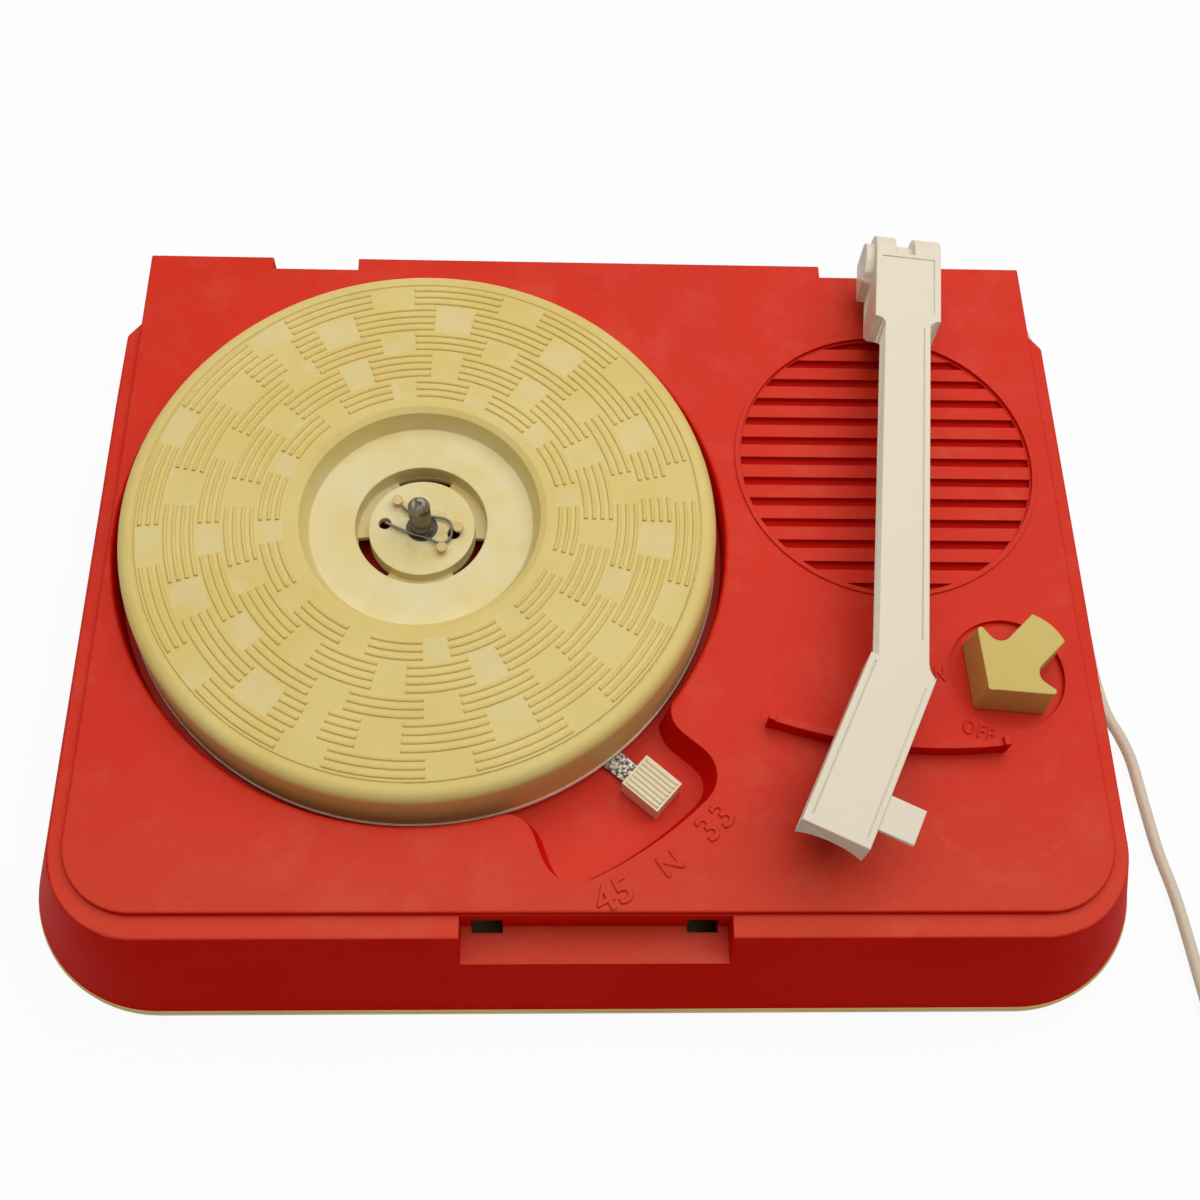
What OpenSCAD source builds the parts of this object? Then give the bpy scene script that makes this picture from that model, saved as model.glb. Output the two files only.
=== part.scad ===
// Children's portable record player without its lid: a red case with a sunk platter well, a cream platter
// driven by a rubber idler, a white swinging and lifting tonearm, a speed lever, a speaker and an arrow knob.
// It stands on the floor plane z = 0 with the origin under the middle of the case, front towards -Y.

/* [Case] */
// Width of the case over its lid ledge
case_w = 330; // [310:1:350]
// Depth of the case from the front of the ledge to the back wall
case_d = 248; // [242:1:262]
// Height of the deck above the underside of the tray
case_h = 46; // [44:1:54]
// How far the wall leans out from the ledge down to the tray
flare = 14; // [8:1:18]
// Corner radius of the ledge at the front
corner_r = 29; // [22:1:34]
// Thickness of the moulded walls
wall = 2.5; // [2:0.1:3]
// Width of the lid ledge at the sides
ledge_w = 4.7; // [4:0.1:6]
// Width of the lid ledge at the front
ledge_front = 7; // [6:0.1:9]
// Drop from the deck to the ledge
ledge_drop = 2.5; // [2:0.1:3.5]
// Length of the narrow strip at the back where the ledge stops
strip_d = 28; // [24:1:32]
// Rounding of the wall into the ledge
ledge_round = 1; // [0.5:0.5:5]
// Height of the tray rim below the red wall
tray_h = 4.5; // [4:0.5:6]
// How far the tray rim stands out in front of the red wall
tray_out = 0.8; // [0:0.1:1.5]
// Height of the feet
foot_h = 3; // [2:0.5:5]
// Radius of the feet
foot_r = 9; // [6:0.5:12]
// Radius of the case screws
screw_r = 1.5; // [1.2:0.1:1.8]

/* [Platter] */
// Diameter of the platter over its top edge
platter_d = 195; // [184:1:198]
// Place of the spindle across the case
platter_x = -57; // [-60:0.5:-54]
// Place of the spindle from the middle of the case
platter_y = 18; // [14:0.5:20]
// Height of the platter above the deck
platter_rise = 12; // [12:0.5:15]
// Depth of the platter skirt below the deck
skirt_drop = 10; // [8:0.5:10.5]
// Depth of the well below the deck
well_depth = 13; // [12.8:0.1:15]
// Gap between the skirt lip and the well wall
well_gap = 2.5; // [2:0.5:5]
// Thickness of the platter
platter_t = 2.5; // [2:0.1:3]
// Diameter of the label recess
label_d = 74; // [66:1:80]
// Depth of the label recess
label_depth = 7.5; // [6:0.5:10.5]
// Diameter of the hub disc
hub_d = 35.2; // [32:0.2:36]
// Drop from the label recess to the top of the hub disc
hub_drop = 2.2; // [1.5:0.1:3]
// Width of the ring groove round the hub
groove_w = 4.2; // [3:0.2:5]
// Depth of the ring groove
groove_depth = 6.5; // [5:0.5:7]
// Diameter of the spindle
spindle_d = 7.2; // [7:0.1:7.4]
// Height of the spindle tip above the deck
spindle_rise = 18.5; // [17.5:0.5:22]
// Radial running clearance of shafts in their bores
run_gap = 0.05; // [0.02:0.01:0.1]

/* [Drive] */
// Radius of the idler wheel over its tyre
idler_r = 18; // [15:0.5:20]
// Thickness of the idler tyre
idler_t = 5; // [4:0.5:6]
// Radius of the motor pulley on its slow step
pulley_r = 2.4; // [2.2:0.1:2.8]
// Radius of the motor shaft
motor_shaft_r = 1.5; // [1.2:0.1:1.8]
// Gap left between rolling faces
roll_gap = 0.04; // [0.02:0.01:0.08]
// Width of the motor core
motor_w = 48; // [40:1:52]
// Height of the motor core
motor_h = 14; // [12:0.5:15]

/* [Speed lever] */
// Reach of the lever from its pivot to the middle of its cap
lever_r = 70; // [68:0.5:72]
// Direction of the lever at the slow speed
lever_a = -41; // [-43:0.5:-39]
// Width of the steel strip
lever_w = 7; // [5:0.5:8]
// Thickness of the steel strip
lever_t = 1; // [0.8:0.1:1.2]
// Length of the cap along the lever
cap_l = 14.4; // [12:0.2:16]
// Width of the cap
cap_w = 12.2; // [10:0.2:13]
// Height of the cap
cap_h = 8; // [7:0.5:10]

/* [Tonearm] */
// Place of the arm pivot across the case
arm_x = 109.5; // [108:0.5:112]
// Distance of the arm pivot from the back wall
arm_back = 25; // [23:0.5:26]
// Direction of the parked arm
arm_a = -6.6; // [-8:0.2:-5]
// Height of the top of the arm above the deck
arm_rise = 29; // [28.5:0.5:32]
// Width of the arm at its pivot
rear_w = 22.4; // [22:0.2:25]
// Width of the neck
neck_w = 15.3; // [13:0.1:17]
// Depth of the neck walls
neck_h = 9.5; // [8:0.5:11]
// Width of the head
head_w = 21; // [19:0.5:23]
// Length of the head
head_l = 58; // [54:1:62]
// Depth of the head walls
head_h = 13; // [12:0.5:13]
// Angle of the head to the neck
head_a = 19; // [15:0.5:22]
// Reach of the neck from the pivot to the head
neck_l = 149; // [146:0.5:151]
// Thickness of the arm walls
arm_t = 2; // [1.6:0.1:2.2]
// Radius of the rounded rear end about the lift pin
rear_r = 11; // [10:0.2:11.2]
// Radius of the lift pin
pin_r = 2; // [1.5:0.1:2.5]
// Radius of the turret shaft
turret_r = 4; // [3.5:0.1:4.5]
// Radius of the arm rail about the pivot
rail_r = 165.3; // [163:0.1:168]
// Height of the arm rail
rail_h = 6.5; // [5:0.5:8]
// Thickness of the arm rail
rail_t = 2.2; // [1.8:0.1:3]

/* [Speaker] */
// Place of the grille across the case
grille_x = 102; // [100:0.5:103]
// Place of the grille from the middle of the case
grille_y = 47.3; // [45:0.1:47.5]
// Radius of the grille
grille_r = 51; // [46:0.5:51.5]
// Pitch of the grille slots
slot_pitch = 8.1; // [7:0.1:9]
// Width of the grille slots
slot_w = 3.2; // [2.5:0.1:3.5]
// Radius of the speaker magnet
magnet_r = 16; // [14:0.5:20]

/* [Knob] */
// Place of the knob across the case
knob_x = 133.9; // [131:0.1:136]
// Place of the knob from the middle of the case
knob_y = -32.5; // [-36:0.1:-30]
// Radius of the knob recess
knob_recess_r = 19; // [18:0.5:20]
// Depth of the knob recess
knob_recess = 2; // [1:0.1:2]
// Height of the knob
knob_h = 14.6; // [13:0.1:15]
// Direction that the arrow points in when off
knob_a = 224; // [220:1:236]
// Radius of the switch shaft
shaft_r = 3; // [2.5:0.1:3.2]

/* [Latch] */
// Width of the latch recess in the front wall
latch_w = 82; // [70:1:90]
// Depth of the latch recess below the deck
latch_depth = 16; // [10:0.5:17]
// Width of a lid hinge notch
notch_w = 31; // [26:1:36]
// Distance of the notches from the middle
notch_x = 100.5; // [98:0.5:104]
// Depth of a lid hinge notch
notch_d = 5; // [4.5:0.5:6]

/* [Cord] */
// Radius of the mains cord
cord_r = 2; // [1.8:0.1:2.1]

/* [Hidden] */
$fn = 64;
e = 0.01;
slip = 0.3;

hw = case_w / 2;
back_y = (case_d + flare) / 2;
front_y = back_y - case_d;
tray_z = foot_h;
rim_z = tray_z + tray_h;
deck_z = tray_z + case_h;
ledge_z = deck_z - ledge_drop;
under_z = deck_z - wall;
panel_hw = hw - ledge_w;
panel_y = front_y + ledge_front;
panel_r = corner_r - 6;
shoulder_y = back_y - strip_d;
lean = flare / (ledge_z - rim_z);
lean_a = atan(lean);
floor_z = tray_z + wall;

platter_z = deck_z + platter_rise;
lip_z = deck_z - skirt_drop;
well_z = deck_z - well_depth;
well_under = well_z - wall;
lip_r = platter_d / 2 + 1.5;
well_r = lip_r + well_gap;
rim_in = platter_d / 2 - platter_t;
label_z = platter_z - label_depth;
label_slope = 2.4;
label_ease = 2.2;
hub_z = label_z - hub_drop;
hub_r = hub_d / 2;
groove_r = hub_r + groove_w;
groove_z = label_z - groove_depth;
spindle_r = spindle_d / 2;
bush_r = spindle_r + 1.6;
sleeve_r = bush_r + 2.2;
boss_z = well_z + 3;
washer_t = 1;
clip_r = 0.45;
clip_z = hub_z + 1.2;
neck_r = 2.4;

idler_a = 250;
idler_d = rim_in - idler_r - roll_gap;
idler_x = platter_x + idler_d * cos(idler_a);
idler_y = platter_y + idler_d * sin(idler_a);
idler_z = deck_z + 0.5;
motor_a = idler_a + 105;
motor_d = idler_r + pulley_r + roll_gap;
motor_x = idler_x + motor_d * cos(motor_a);
motor_y = idler_y + motor_d * sin(motor_a);
motor_top = well_under;
motor_z = motor_top - 3 - motor_h;
pulley_top = idler_z + idler_t + 2.5;
hub_in = 8;
idler_pin_r = 1.5;
arm_z = idler_z - 2.2;
post_dx = 4;
post_dy = 30;

lever_dx = 22;
lever_dy = -40.5;
cap_tip = lever_r + cap_l / 2;
cap_gap = 6;
recess_in = 3;
recess_r = norm([lever_dx + cap_tip * cos(lever_a), lever_dy + cap_tip * sin(lever_a)]) + recess_in + cap_gap;
recess_a0 = -70;
recess_a1 = -40;
recess_c = 11;
recess_step = 0.2;
recess_q = 9;
lever_z = well_z + 0.8;
lever_x = platter_x + lever_dx;
lever_y = platter_y + lever_dy;

arm_y = back_y - arm_back;
arm_top = deck_z + arm_rise;
pin_y = 9.5;
pin_z = arm_top - rear_r;
rear_low = pin_z - rear_r + 0.6;
neck_z = arm_top - neck_h;
head_z = arm_top - head_h;
rear_in = rear_w / 2 - arm_t;
turret_w = rear_in - 0.4;
turret_z = deck_z + 1;
bearing_r = turret_r + 3;
boss_out = 8;
rest_a = -98.5;

flange_r = grille_r + 0.5;
ear_r = grille_r + 2.5;
cloth_t = 0.5;
flange_t = 2;
flange_z = under_z - cloth_t - flange_t;
magnet_z = flange_z - 26;

switch_top = under_z - 2;
pad_r = knob_recess_r + 2;

board_x = [hw - 100, hw - 32];
board_y = [panel_y + 22, panel_y + 60];
board_z = floor_z + 7;

screw_pts = [for (s = [-1, 1]) each [[s * (hw - 21), front_y + 22], [s * (hw - 19), back_y - 13]]];
foot_pts = [for (s = [-1, 1]) for (y = [front_y + 13, back_y - 19]) [s * (hw - 43), y]];
boss_r = screw_r + 2.5;

gland_x = 120;
gland_z = tray_z + 9.5;
gland_l = 22;
gland_k = 3.4;
gland_turn = 42;
cord_d = 2 * cord_r;
lay = cord_r + 0.2;

// Route of the cord on the floor, from the strain relief round the right side to the coil
side_x = hw + flare;
gland_end = [gland_x + (gland_l - gland_k) * sin(gland_turn),
    back_y + gland_k + (gland_l - gland_k) * cos(gland_turn), gland_z];
cord_route = [
    gland_end, gland_end + [3.6, 4, -0.4], gland_end + [8.1, 8, -1.6], gland_end + [13.6, 11.1, -3.5],
    gland_end + [19.8, 12.5, -5.7], gland_end + [26.1, 11.8, -7.7], gland_end + [31.9, 9.2, -9.2],
    gland_end + [36.9, 5, -10], [side_x - 5.7, back_y + 16.8, lay], [side_x - 2.7, back_y + 10.2, lay],
    [side_x - 0.4, back_y + 2.5, lay], [side_x + 1.2, back_y - 6.5, lay], [side_x + 2.3, back_y - 17, lay],
    [side_x + 2.9, back_y - 29, lay], [side_x + 3, back_y - 43, lay],
    [side_x + 3, 70, lay], [side_x + 3, 45, lay], [side_x + 3, 20, lay],
    [side_x + 3, 0, lay], [side_x + 3.6, -15, lay], [side_x + 5.5, -28, lay], [side_x + 9, -37, lay],
    [side_x + 11.5, -46, lay], [side_x + 13, -60, lay], [side_x + 15, -78, lay], [side_x + 18, -93, lay],
    [side_x + 20, -109, lay], [side_x + 21.5, -124, lay], [side_x + 23.5, -140, lay], [side_x + 27, -156,
        lay],
    [side_x + 32, -172, lay], [side_x + 36.8, -186, 2.8], [side_x + 39, -196, 3.4]
];
coil_x = side_x + 71;
coil_y = -204;
coil_r = 32;
coil_pitch = 4.7;
coil_n = 3;
coil_z = 3.4;
coil_rise = 4.7;
plug_x = coil_x + coil_r;
tail_route = [
    [plug_x, -200, 8.1], [plug_x, -192, 7.8], [plug_x, -183, 6.8], [plug_x, -174, 6.2], [plug_x, -166, 6.2]
];

// Cylinder between two heights
module rod(r, z0, z1) {
    translate([0, 0, z0]) cylinder(r = r, h = z1 - z0);
}

// Ring between two heights
module ring(r, bore, z0, z1) {
    difference() {
        rod(r, z0, z1);
        rod(bore, z0 - 1, z1 + 1);
    }
}

// Block from its two corners
module block(a, b) {
    translate(a) cube(b - a);
}

// Plan with two rounded corners at the front
module plan2d(w, fy, r, by) {
    translate([-w, fy + r]) square([2 * w, by - fy - r]);
    translate([r - w, fy]) square([2 * (w - r), r + e]);
    for (s = [-1, 1]) translate([s * (w - r), fy + r]) circle(r = r);
}

// A profile drawn outwards from the plan's edge, carried round both sides and the front
module carry(w, fy, r, by) {
    for (m = [0, 1]) mirror([m, 0, 0]) {
        translate([w, by, 0]) rotate([90, 0, 0]) linear_extrude(by - fy - r) children();
        translate([w - r, fy + r, 0]) rotate([0, 0, -90]) rotate_extrude(angle = 90) translate([r,
            0]) children();
    }
    rotate([0, 0, -90]) translate([-fy, w - r, 0]) rotate([90, 0, 0]) linear_extrude(2 * (w - r)) children();
}

// How far the wall stands out from the ledge's edge at a height
function out_at(z) = lean * (ledge_z - z);

// Leaning wall with its rounded shoulder, filled to the corner centre
module wall_profile() {
    c = out_at(ledge_z - ledge_round) - ledge_round / cos(lean_a);
    tx = c + ledge_round * cos(lean_a);
    tz = ledge_z - ledge_round + ledge_round * sin(lean_a);
    polygon([[-corner_r, rim_z], [flare, rim_z], [tx, tz], [c, ledge_z - ledge_round], [c, ledge_z],
        [-corner_r, ledge_z]]);
    translate([c, ledge_z - ledge_round]) circle(r = ledge_round);
}

module cavity_profile() {
    t = wall / cos(lean_a);
    top = ledge_z - wall;
    polygon([[-corner_r, rim_z - 1], [out_at(rim_z - 1) - t, rim_z - 1], [out_at(top) - t, top],
        [-corner_r, top]]);
}

// Raised deck panel with a rounded top edge
module panel_profile() {
    q = 1;
    polygon([[-panel_r, ledge_z - e], [0, ledge_z - e], [0, deck_z - q], [-q, deck_z - q], [-q, deck_z],
        [-panel_r, deck_z]]);
    translate([-q, deck_z - q]) circle(r = q);
}

module case_outer() {
    difference() {
        union() {
            carry(hw, front_y, corner_r, back_y) wall_profile();
            block([corner_r - hw, front_y + corner_r, rim_z], [hw - corner_r, back_y, ledge_z]);
        }
        for (s = [0, 1]) mirror([s, 0, 0]) translate([0, 0, rim_z - 1]) linear_extrude(case_h)
            polygon([[panel_hw, back_y + 1], [panel_hw, shoulder_y], [hw, shoulder_y - 6],
                [hw + 40, shoulder_y - 6], [hw + 40, back_y + 1]]);
    }
    carry(panel_hw, panel_y, panel_r, back_y) panel_profile();
    block([panel_r - panel_hw, panel_y + panel_r, ledge_z - e], [panel_hw - panel_r, back_y, deck_z]);
}

module case_cavity() {
    y1 = shoulder_y - 6 - wall;
    carry(hw, front_y, corner_r, y1) cavity_profile();
    block([corner_r - hw, front_y + corner_r, rim_z - 1], [hw - corner_r, y1, ledge_z - wall]);
    block([wall - panel_hw, y1 - 30, rim_z - 1], [panel_hw - wall, back_y - wall, ledge_z - wall]);
    translate([0, 0, ledge_z - wall - e]) linear_extrude(under_z - ledge_z + wall + e)
        plan2d(panel_hw - wall, panel_y + wall, panel_r - wall, back_y - wall);
}

// Sunk place for the speed lever: an arc about the spindle with leaning walls and round corners
module recess_cut() {
    d = recess_r - recess_c;
    swing = asin(recess_c / d);
    reach = sqrt(d * d - recess_c * recess_c);
    low = well_z + recess_step;
    up = deck_z + 1;
    k = recess_in / well_depth;
    c = recess_c - 0.1;
    translate([platter_x, platter_y, 0]) {
        rotate([0, 0, recess_a0 + swing]) rotate_extrude(angle = recess_a1 - recess_a0 - 2 * swing)
            polygon([[60, low], [recess_r - recess_in, low], [recess_r + k, up], [60, up]]);
        for (a = [recess_a0 + swing, recess_a1 - swing]) rotate([0, 0, a]) translate([d, 0, low + 0.03])
            cylinder(r1 = c - recess_in, r2 = c + k, h = up - low);
        for (m = [0, 1]) rotate([0, 0, m == 0 ? recess_a0 : recess_a1]) mirror([0, m, 0])
            translate([reach, 0, 0]) rotate([0, -90, 0]) linear_extrude(reach - 60)
                polygon([[low + 0.06, recess_in], [up, -k], [up, recess_c + 9], [low + 0.06, recess_c + 9]]);
        for (m = [0, 1]) rotate([0, 0, m == 0 ? recess_a0 : recess_a1]) mirror([0, m,
            0]) recess_corner(low, up, k);
    }
}

// Eased corner where an end of the speed recess meets the well, the wall on the -Y side of the X axis
module recess_corner(low, up, k) {
    q = recess_q;
    x = sqrt(pow(well_r + q, 2) - q * q);
    in = (well_r - 8) / (well_r + q);
    difference() {
        translate([0, 0, low + 0.09]) linear_extrude(up - low)
            polygon([[x, -q], [x, 7], [90, 7], [x * in, -q * in]]);
        translate([x, -q, low - 1]) cylinder(r1 = q + recess_in + k - 0.08, r2 = q - k - 0.08,
            h = up - low + 1);
    }
}

module recess_cup() {
    low = well_under + 0.4;
    up = under_z + 0.6;
    translate([platter_x, platter_y, 0]) rotate([0, 0, recess_a0 - 7])
        rotate_extrude(angle = recess_a1 - recess_a0 + 14)
            polygon([[well_r - 1, low], [recess_r + wall, low], [recess_r + wall, up], [well_r - 1, up]]);
}

// Round well with an eased edge at the deck
module well_cut() {
    q = 1.5;
    translate([platter_x, platter_y, 0]) {
        rod(well_r, well_z, deck_z + 1);
        rotate_extrude() difference() {
            translate([well_r - 1, deck_z - q]) square([q + 1, q + 1]);
            translate([well_r + q, deck_z - q]) circle(r = q);
        }
    }
}

module grille_cut() {
    n = floor((grille_r - slot_w / 2) / slot_pitch);
    translate([grille_x, grille_y, 0]) {
        rod(grille_r, deck_z - 0.8, deck_z + 1);
        intersection() {
            rod(grille_r - 0.6, under_z - 1, deck_z + 1);
            for (k = [-n:n]) translate([-grille_r, k * slot_pitch - slot_w / 2, under_z - 1])
                cube([2 * grille_r, slot_w, wall + 2]);
        }
    }
}

// Part of a standing ring about the arm's pivot, between two angles and from inside the deck up
module rail_arc(r0, r1, a0, a1, up) {
    translate([arm_x, arm_y, deck_z - 1]) rotate([0, 0, a0]) rotate_extrude(angle = a1 - a0)
        translate([r0, 0]) square([r1 - r0, up + 1]);
}

module arm_rail() {
    r0 = rail_r - rail_t / 2;
    r1 = rail_r + rail_t / 2;
    rail_arc(r0, r1, -109, -83.6, rail_h);
    rail_arc(r0 - 0.3, r1 + 0.3, -109.5, -108.8, rail_h + 1.6);
    rail_arc(r0 - 0.3, r1 + 0.3, -83.8, -83.1, rail_h + 1.6);
    rail_arc(r0 - 0.2, r1 + 0.2, rest_a - 1.8, rest_a + 1.8, head_z - slip - deck_z);
}

module top_case() {
    latch_z = deck_z - latch_depth;
    latch_y = panel_y - 0.3;
    color([0.80, 0.20, 0.13]) difference() {
        union() {
            difference() {
                case_outer();
                case_cavity();
            }
            translate([platter_x, platter_y, 0]) {
                rod(well_r + wall, well_under, under_z + e);
            }
            recess_cup();
            translate([knob_x, knob_y, 0]) rod(pad_r, switch_top, under_z + e);
            translate([arm_x, arm_y, 0]) rod(bearing_r, deck_z - 14, under_z + e);
            translate([-latch_w / 2 - wall, 0, 0]) rotate([90, 0, 90]) linear_extrude(latch_w + 2 * wall)
                polygon([[front_y - out_at(latch_z - wall) + 0.8, latch_z - wall],
                    [latch_y + wall + 2, latch_z - wall], [latch_y + wall + 2, ledge_z - 1],
                    [front_y - out_at(ledge_z - 1) + 0.8, ledge_z - 1]]);
            for (s = [-1, 1]) block([s * notch_x - notch_w / 2 - wall, back_y - notch_d - wall, deck_z - 16],
                [s * notch_x + notch_w / 2 + wall, back_y - 1, under_z + e]);
            for (p = screw_pts) translate([p[0], p[1], 0]) rod(boss_r, floor_z, under_z + e);
            for (a = [45:90:315]) translate([grille_x, grille_y, 0]) rotate([0, 0, a])
                translate([ear_r, 0, 0]) rod(2.7, flange_z + flange_t, under_z + e);
            arm_rail();
            translate([grille_x, grille_y, 0]) ring(grille_r + 1.6, grille_r, deck_z - 1, deck_z + 0.7);
        }
        well_cut();
        recess_cut();
        grille_cut();
        translate([knob_x, knob_y, 0]) {
            rod(knob_recess_r, deck_z - knob_recess, deck_z + 1);
            rod(shaft_r + 0.6, switch_top - 1, deck_z);
        }
        translate([arm_x, arm_y, 0]) rod(turret_r + run_gap, deck_z - 15, deck_z + 1);
        translate([-latch_w / 2, latch_y - 40, latch_z]) cube([latch_w, 40, latch_depth + 1]);
        for (s = [-1, 1]) translate([s * (latch_w / 2 - 8) - 4.75, latch_y - 2.1, latch_z - 5])
            cube([9.5, wall + 6, 13]);
        for (s = [-1, 1]) translate([s * notch_x - notch_w / 2, back_y - notch_d, deck_z - 13])
            cube([notch_w, notch_d + 1, 14]);
        for (p = screw_pts) translate([p[0], p[1], 0]) rod(screw_r + run_gap, floor_z - 1, floor_z + 14);
        for (a = [45:90:315]) translate([grille_x, grille_y, 0]) rotate([0, 0, a])
            translate([ear_r, 0, 0]) rod(screw_r + run_gap, flange_z, deck_z - 1);
        translate([platter_x, platter_y, 0]) rod(spindle_r, well_under - 1, deck_z);
        translate([motor_x, motor_y, 0]) {
            rod(pulley_r + 4, well_under - 1, deck_z);
            for (s = [-1, 1]) translate([s * motor_w * 0.36, 0, 0]) rod(screw_r + run_gap, well_under - 1,
                deck_z);
        }
        translate([lever_x, lever_y, 0]) rod(screw_r + run_gap, well_under - 1, deck_z);
        translate([idler_x + post_dx, idler_y + post_dy, 0]) rod(screw_r, well_under - 1, deck_z);
        translate([gland_x, 0, gland_z]) rotate([-90, 0, 0]) rod(cord_r + 2.2, back_y - 10, back_y + 5);
    }
}

module tray_profile() {
    c = 1.2;
    polygon([[-corner_r, tray_z], [flare - c, tray_z], [flare, tray_z + c], [flare, rim_z], [-corner_r,
        rim_z]]);
}

module base_tray() {
    lip = out_at(rim_z + 3) - wall / cos(lean_a) - 0.5;
    color([0.87, 0.78, 0.52]) difference() {
        union() {
            difference() {
                union() {
                    carry(hw, front_y - tray_out, corner_r, back_y) tray_profile();
                    block([corner_r - hw, front_y - tray_out + corner_r, tray_z], [hw - corner_r, back_y,
                        rim_z]);
                }
                for (s = [0, 1]) mirror([s, 0, 0]) translate([0, 0, tray_z - 1]) linear_extrude(tray_h + 2)
                    polygon([[panel_hw, back_y + 1], [panel_hw, shoulder_y], [hw, shoulder_y - 6],
                        [hw + 40, shoulder_y - 6], [hw + 40, back_y + 1]]);
                translate([0, 0, floor_z]) linear_extrude(tray_h)
                    plan2d(panel_hw - wall, front_y - flare + 3 * wall, corner_r + flare - 3 * wall,
                        back_y - wall);
            }
            for (y = [-40, 30]) for (s = [-1, 1]) block([s * (hw + lip) - (s > 0 ? 2 : 0), y, floor_z],
                [s * (hw + lip) + (s < 0 ? 2 : 0), y + 20, rim_z + 3]);
            for (x = board_x) for (y = board_y) translate([x, y, 0]) rod(3, floor_z - e, board_z);
        }
        for (p = screw_pts) translate([p[0], p[1], 0]) {
            rod(screw_r + 0.3, tray_z - 1, floor_z + 1);
            rod(screw_r + 1.7, tray_z - 1, tray_z + 1);
        }
        for (p = foot_pts) translate([p[0], p[1], 0]) rod(3, tray_z - 1, floor_z + 1);
    }
}

module feet() {
    color([0.12, 0.12, 0.12]) for (p = foot_pts) translate([p[0], p[1], 0]) {
        rod(foot_r, 0, foot_h);
        rod(3, foot_h - e, floor_z);
    }
}

module case_screws() {
    color([0.70, 0.70, 0.70]) for (p = screw_pts) translate([p[0], p[1], 0]) {
        rod(screw_r + 1.5, tray_z - 0.6, tray_z + 1);
        rod(screw_r, tray_z + 0.9, floor_z + 12);
    }
}

module spindle() {
    top = deck_z + spindle_rise;
    color([0.55, 0.53, 0.50]) translate([platter_x, platter_y, 0]) difference() {
        union() {
            rod(spindle_r, well_under - 2, top - 2);
            translate([0, 0, top - 2]) cylinder(r1 = spindle_r, r2 = spindle_r - 1.4, h = 2);
            rod(spindle_r + 3, well_z, well_z + 2);
            rod(spindle_r + 3, well_under - 2, well_under);
        }
        ring(spindle_r + 1, neck_r, clip_z - 0.9, clip_z + 0.9);
        translate([0, 0, top + 0.6]) sphere(r = 1.2);
    }
}

module thrust_washer() {
    color([0.75, 0.62, 0.35]) translate([platter_x, platter_y, 0])
        ring(spindle_r + 2.6, spindle_r + run_gap, well_z + 2, well_z + 2 + washer_t);
}

module spindle_bush() {
    color([0.25, 0.22, 0.19]) translate([platter_x, platter_y, 0])
        ring(bush_r, spindle_r + run_gap, boss_z + slip, hub_z - 0.4);
}

// Hub posts that hold the wire clip, beside the spindle
post_pts = [[-8.2, 9], [7, -8.5], [12.2, -1]];

module platter() {
    r = platter_d / 2;
    q = 4;
    u = platter_z - platter_t;
    s = label_d / 2 + label_slope;
    color([0.86, 0.77, 0.50]) translate([platter_x, platter_y, 0]) difference() {
        union() {
            rotate_extrude() {
                difference() {
                    union() {
                        polygon([[s + label_ease, platter_z], [r - q, platter_z], [r - q, platter_z - q],
                            [r, platter_z - q], [lip_r - 0.5, lip_z + 2], [lip_r, lip_z + 1.4],
                            [lip_r, lip_z], [rim_in, lip_z], [rim_in, platter_z - q - 0.4],
                            [r - q - 0.4, platter_z - q - 0.4], [r - q - 0.4, u],
                            [s + label_ease + platter_t, u], [label_d / 2 + platter_t, label_z - platter_t],
                            [groove_r - e, label_z - platter_t], [groove_r - e, label_z],
                            [label_d / 2, label_z], [s, platter_z - label_ease / 2]]);
                        intersection() {
                            translate([r - q, platter_z - q]) circle(r = q);
                            translate([r - q - 0.2, platter_z - q - 0.2]) square(q + 0.3);
                        }
                    }
                    translate([r - 5.6, platter_z]) circle(r = 0.35);
                }
                polygon([[groove_r, label_z], [groove_r + platter_t, label_z], [groove_r + platter_t,
                    groove_z - 2],
                    [hub_r - platter_t, groove_z - 2], [hub_r - platter_t, hub_z - platter_t],
                    [sleeve_r, hub_z - platter_t], [sleeve_r, boss_z + slip], [bush_r, boss_z + slip],
                    [bush_r, hub_z], [hub_r, hub_z], [hub_r, groove_z], [groove_r, groove_z]]);
            }
            for (p = post_pts) translate([p[0], p[1], 0]) rod(1.3, hub_z - 1, hub_z + 2.4);
            for (p = post_pts) translate([p[0], p[1], 0]) rod(1.8, hub_z + 2, hub_z + 2.8);
        }
        for (a = [90, 210, 330]) rotate([0, 0, a - 25]) rotate_extrude(angle = 50)
            translate([hub_r + 0.2, groove_z - 3]) square([groove_w - 0.4, 4]);
        for (p = [[-12.3, 1.4], [10.6, -2.1]]) translate([p[0], p[1], 0]) rod(2.1, hub_z - 4, hub_z + 1);
    }
}

// Bent wire from the left hub hole past the spindle, round two posts and back to the third
clip_route = [
    [-12, 1.2, 0], [-6.2, -1.6, 0], [-3, -3, 0], [0, -3.8, 0], [3, -5, 0], [5, -6, 0], [6.6, -6.3, 0],
        [8.2, -6, 0],
    [9.4, -4.8, 0], [10, -3, 0], [10.1, -1, 0], [9.7, 0.9, 0], [8.4, 2.4, 0], [6, 3.2, 0], [3, 3.6, 0], [0,
        3.8, 0],
    [-3, 4.3, 0], [-5.2, 5.8, 0], [-6.8, 7.4, 0]
];

module platter_clip() {
    p = smooth(clip_route, 2);
    n = len(clip_route);
    color([0.50, 0.50, 0.50]) translate([platter_x, platter_y, clip_z])
        tube(p, clip_r, 8, unit(p[1] - p[0]), unit(p[2 * n - 2] - p[2 * n - 3]));
}

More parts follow.
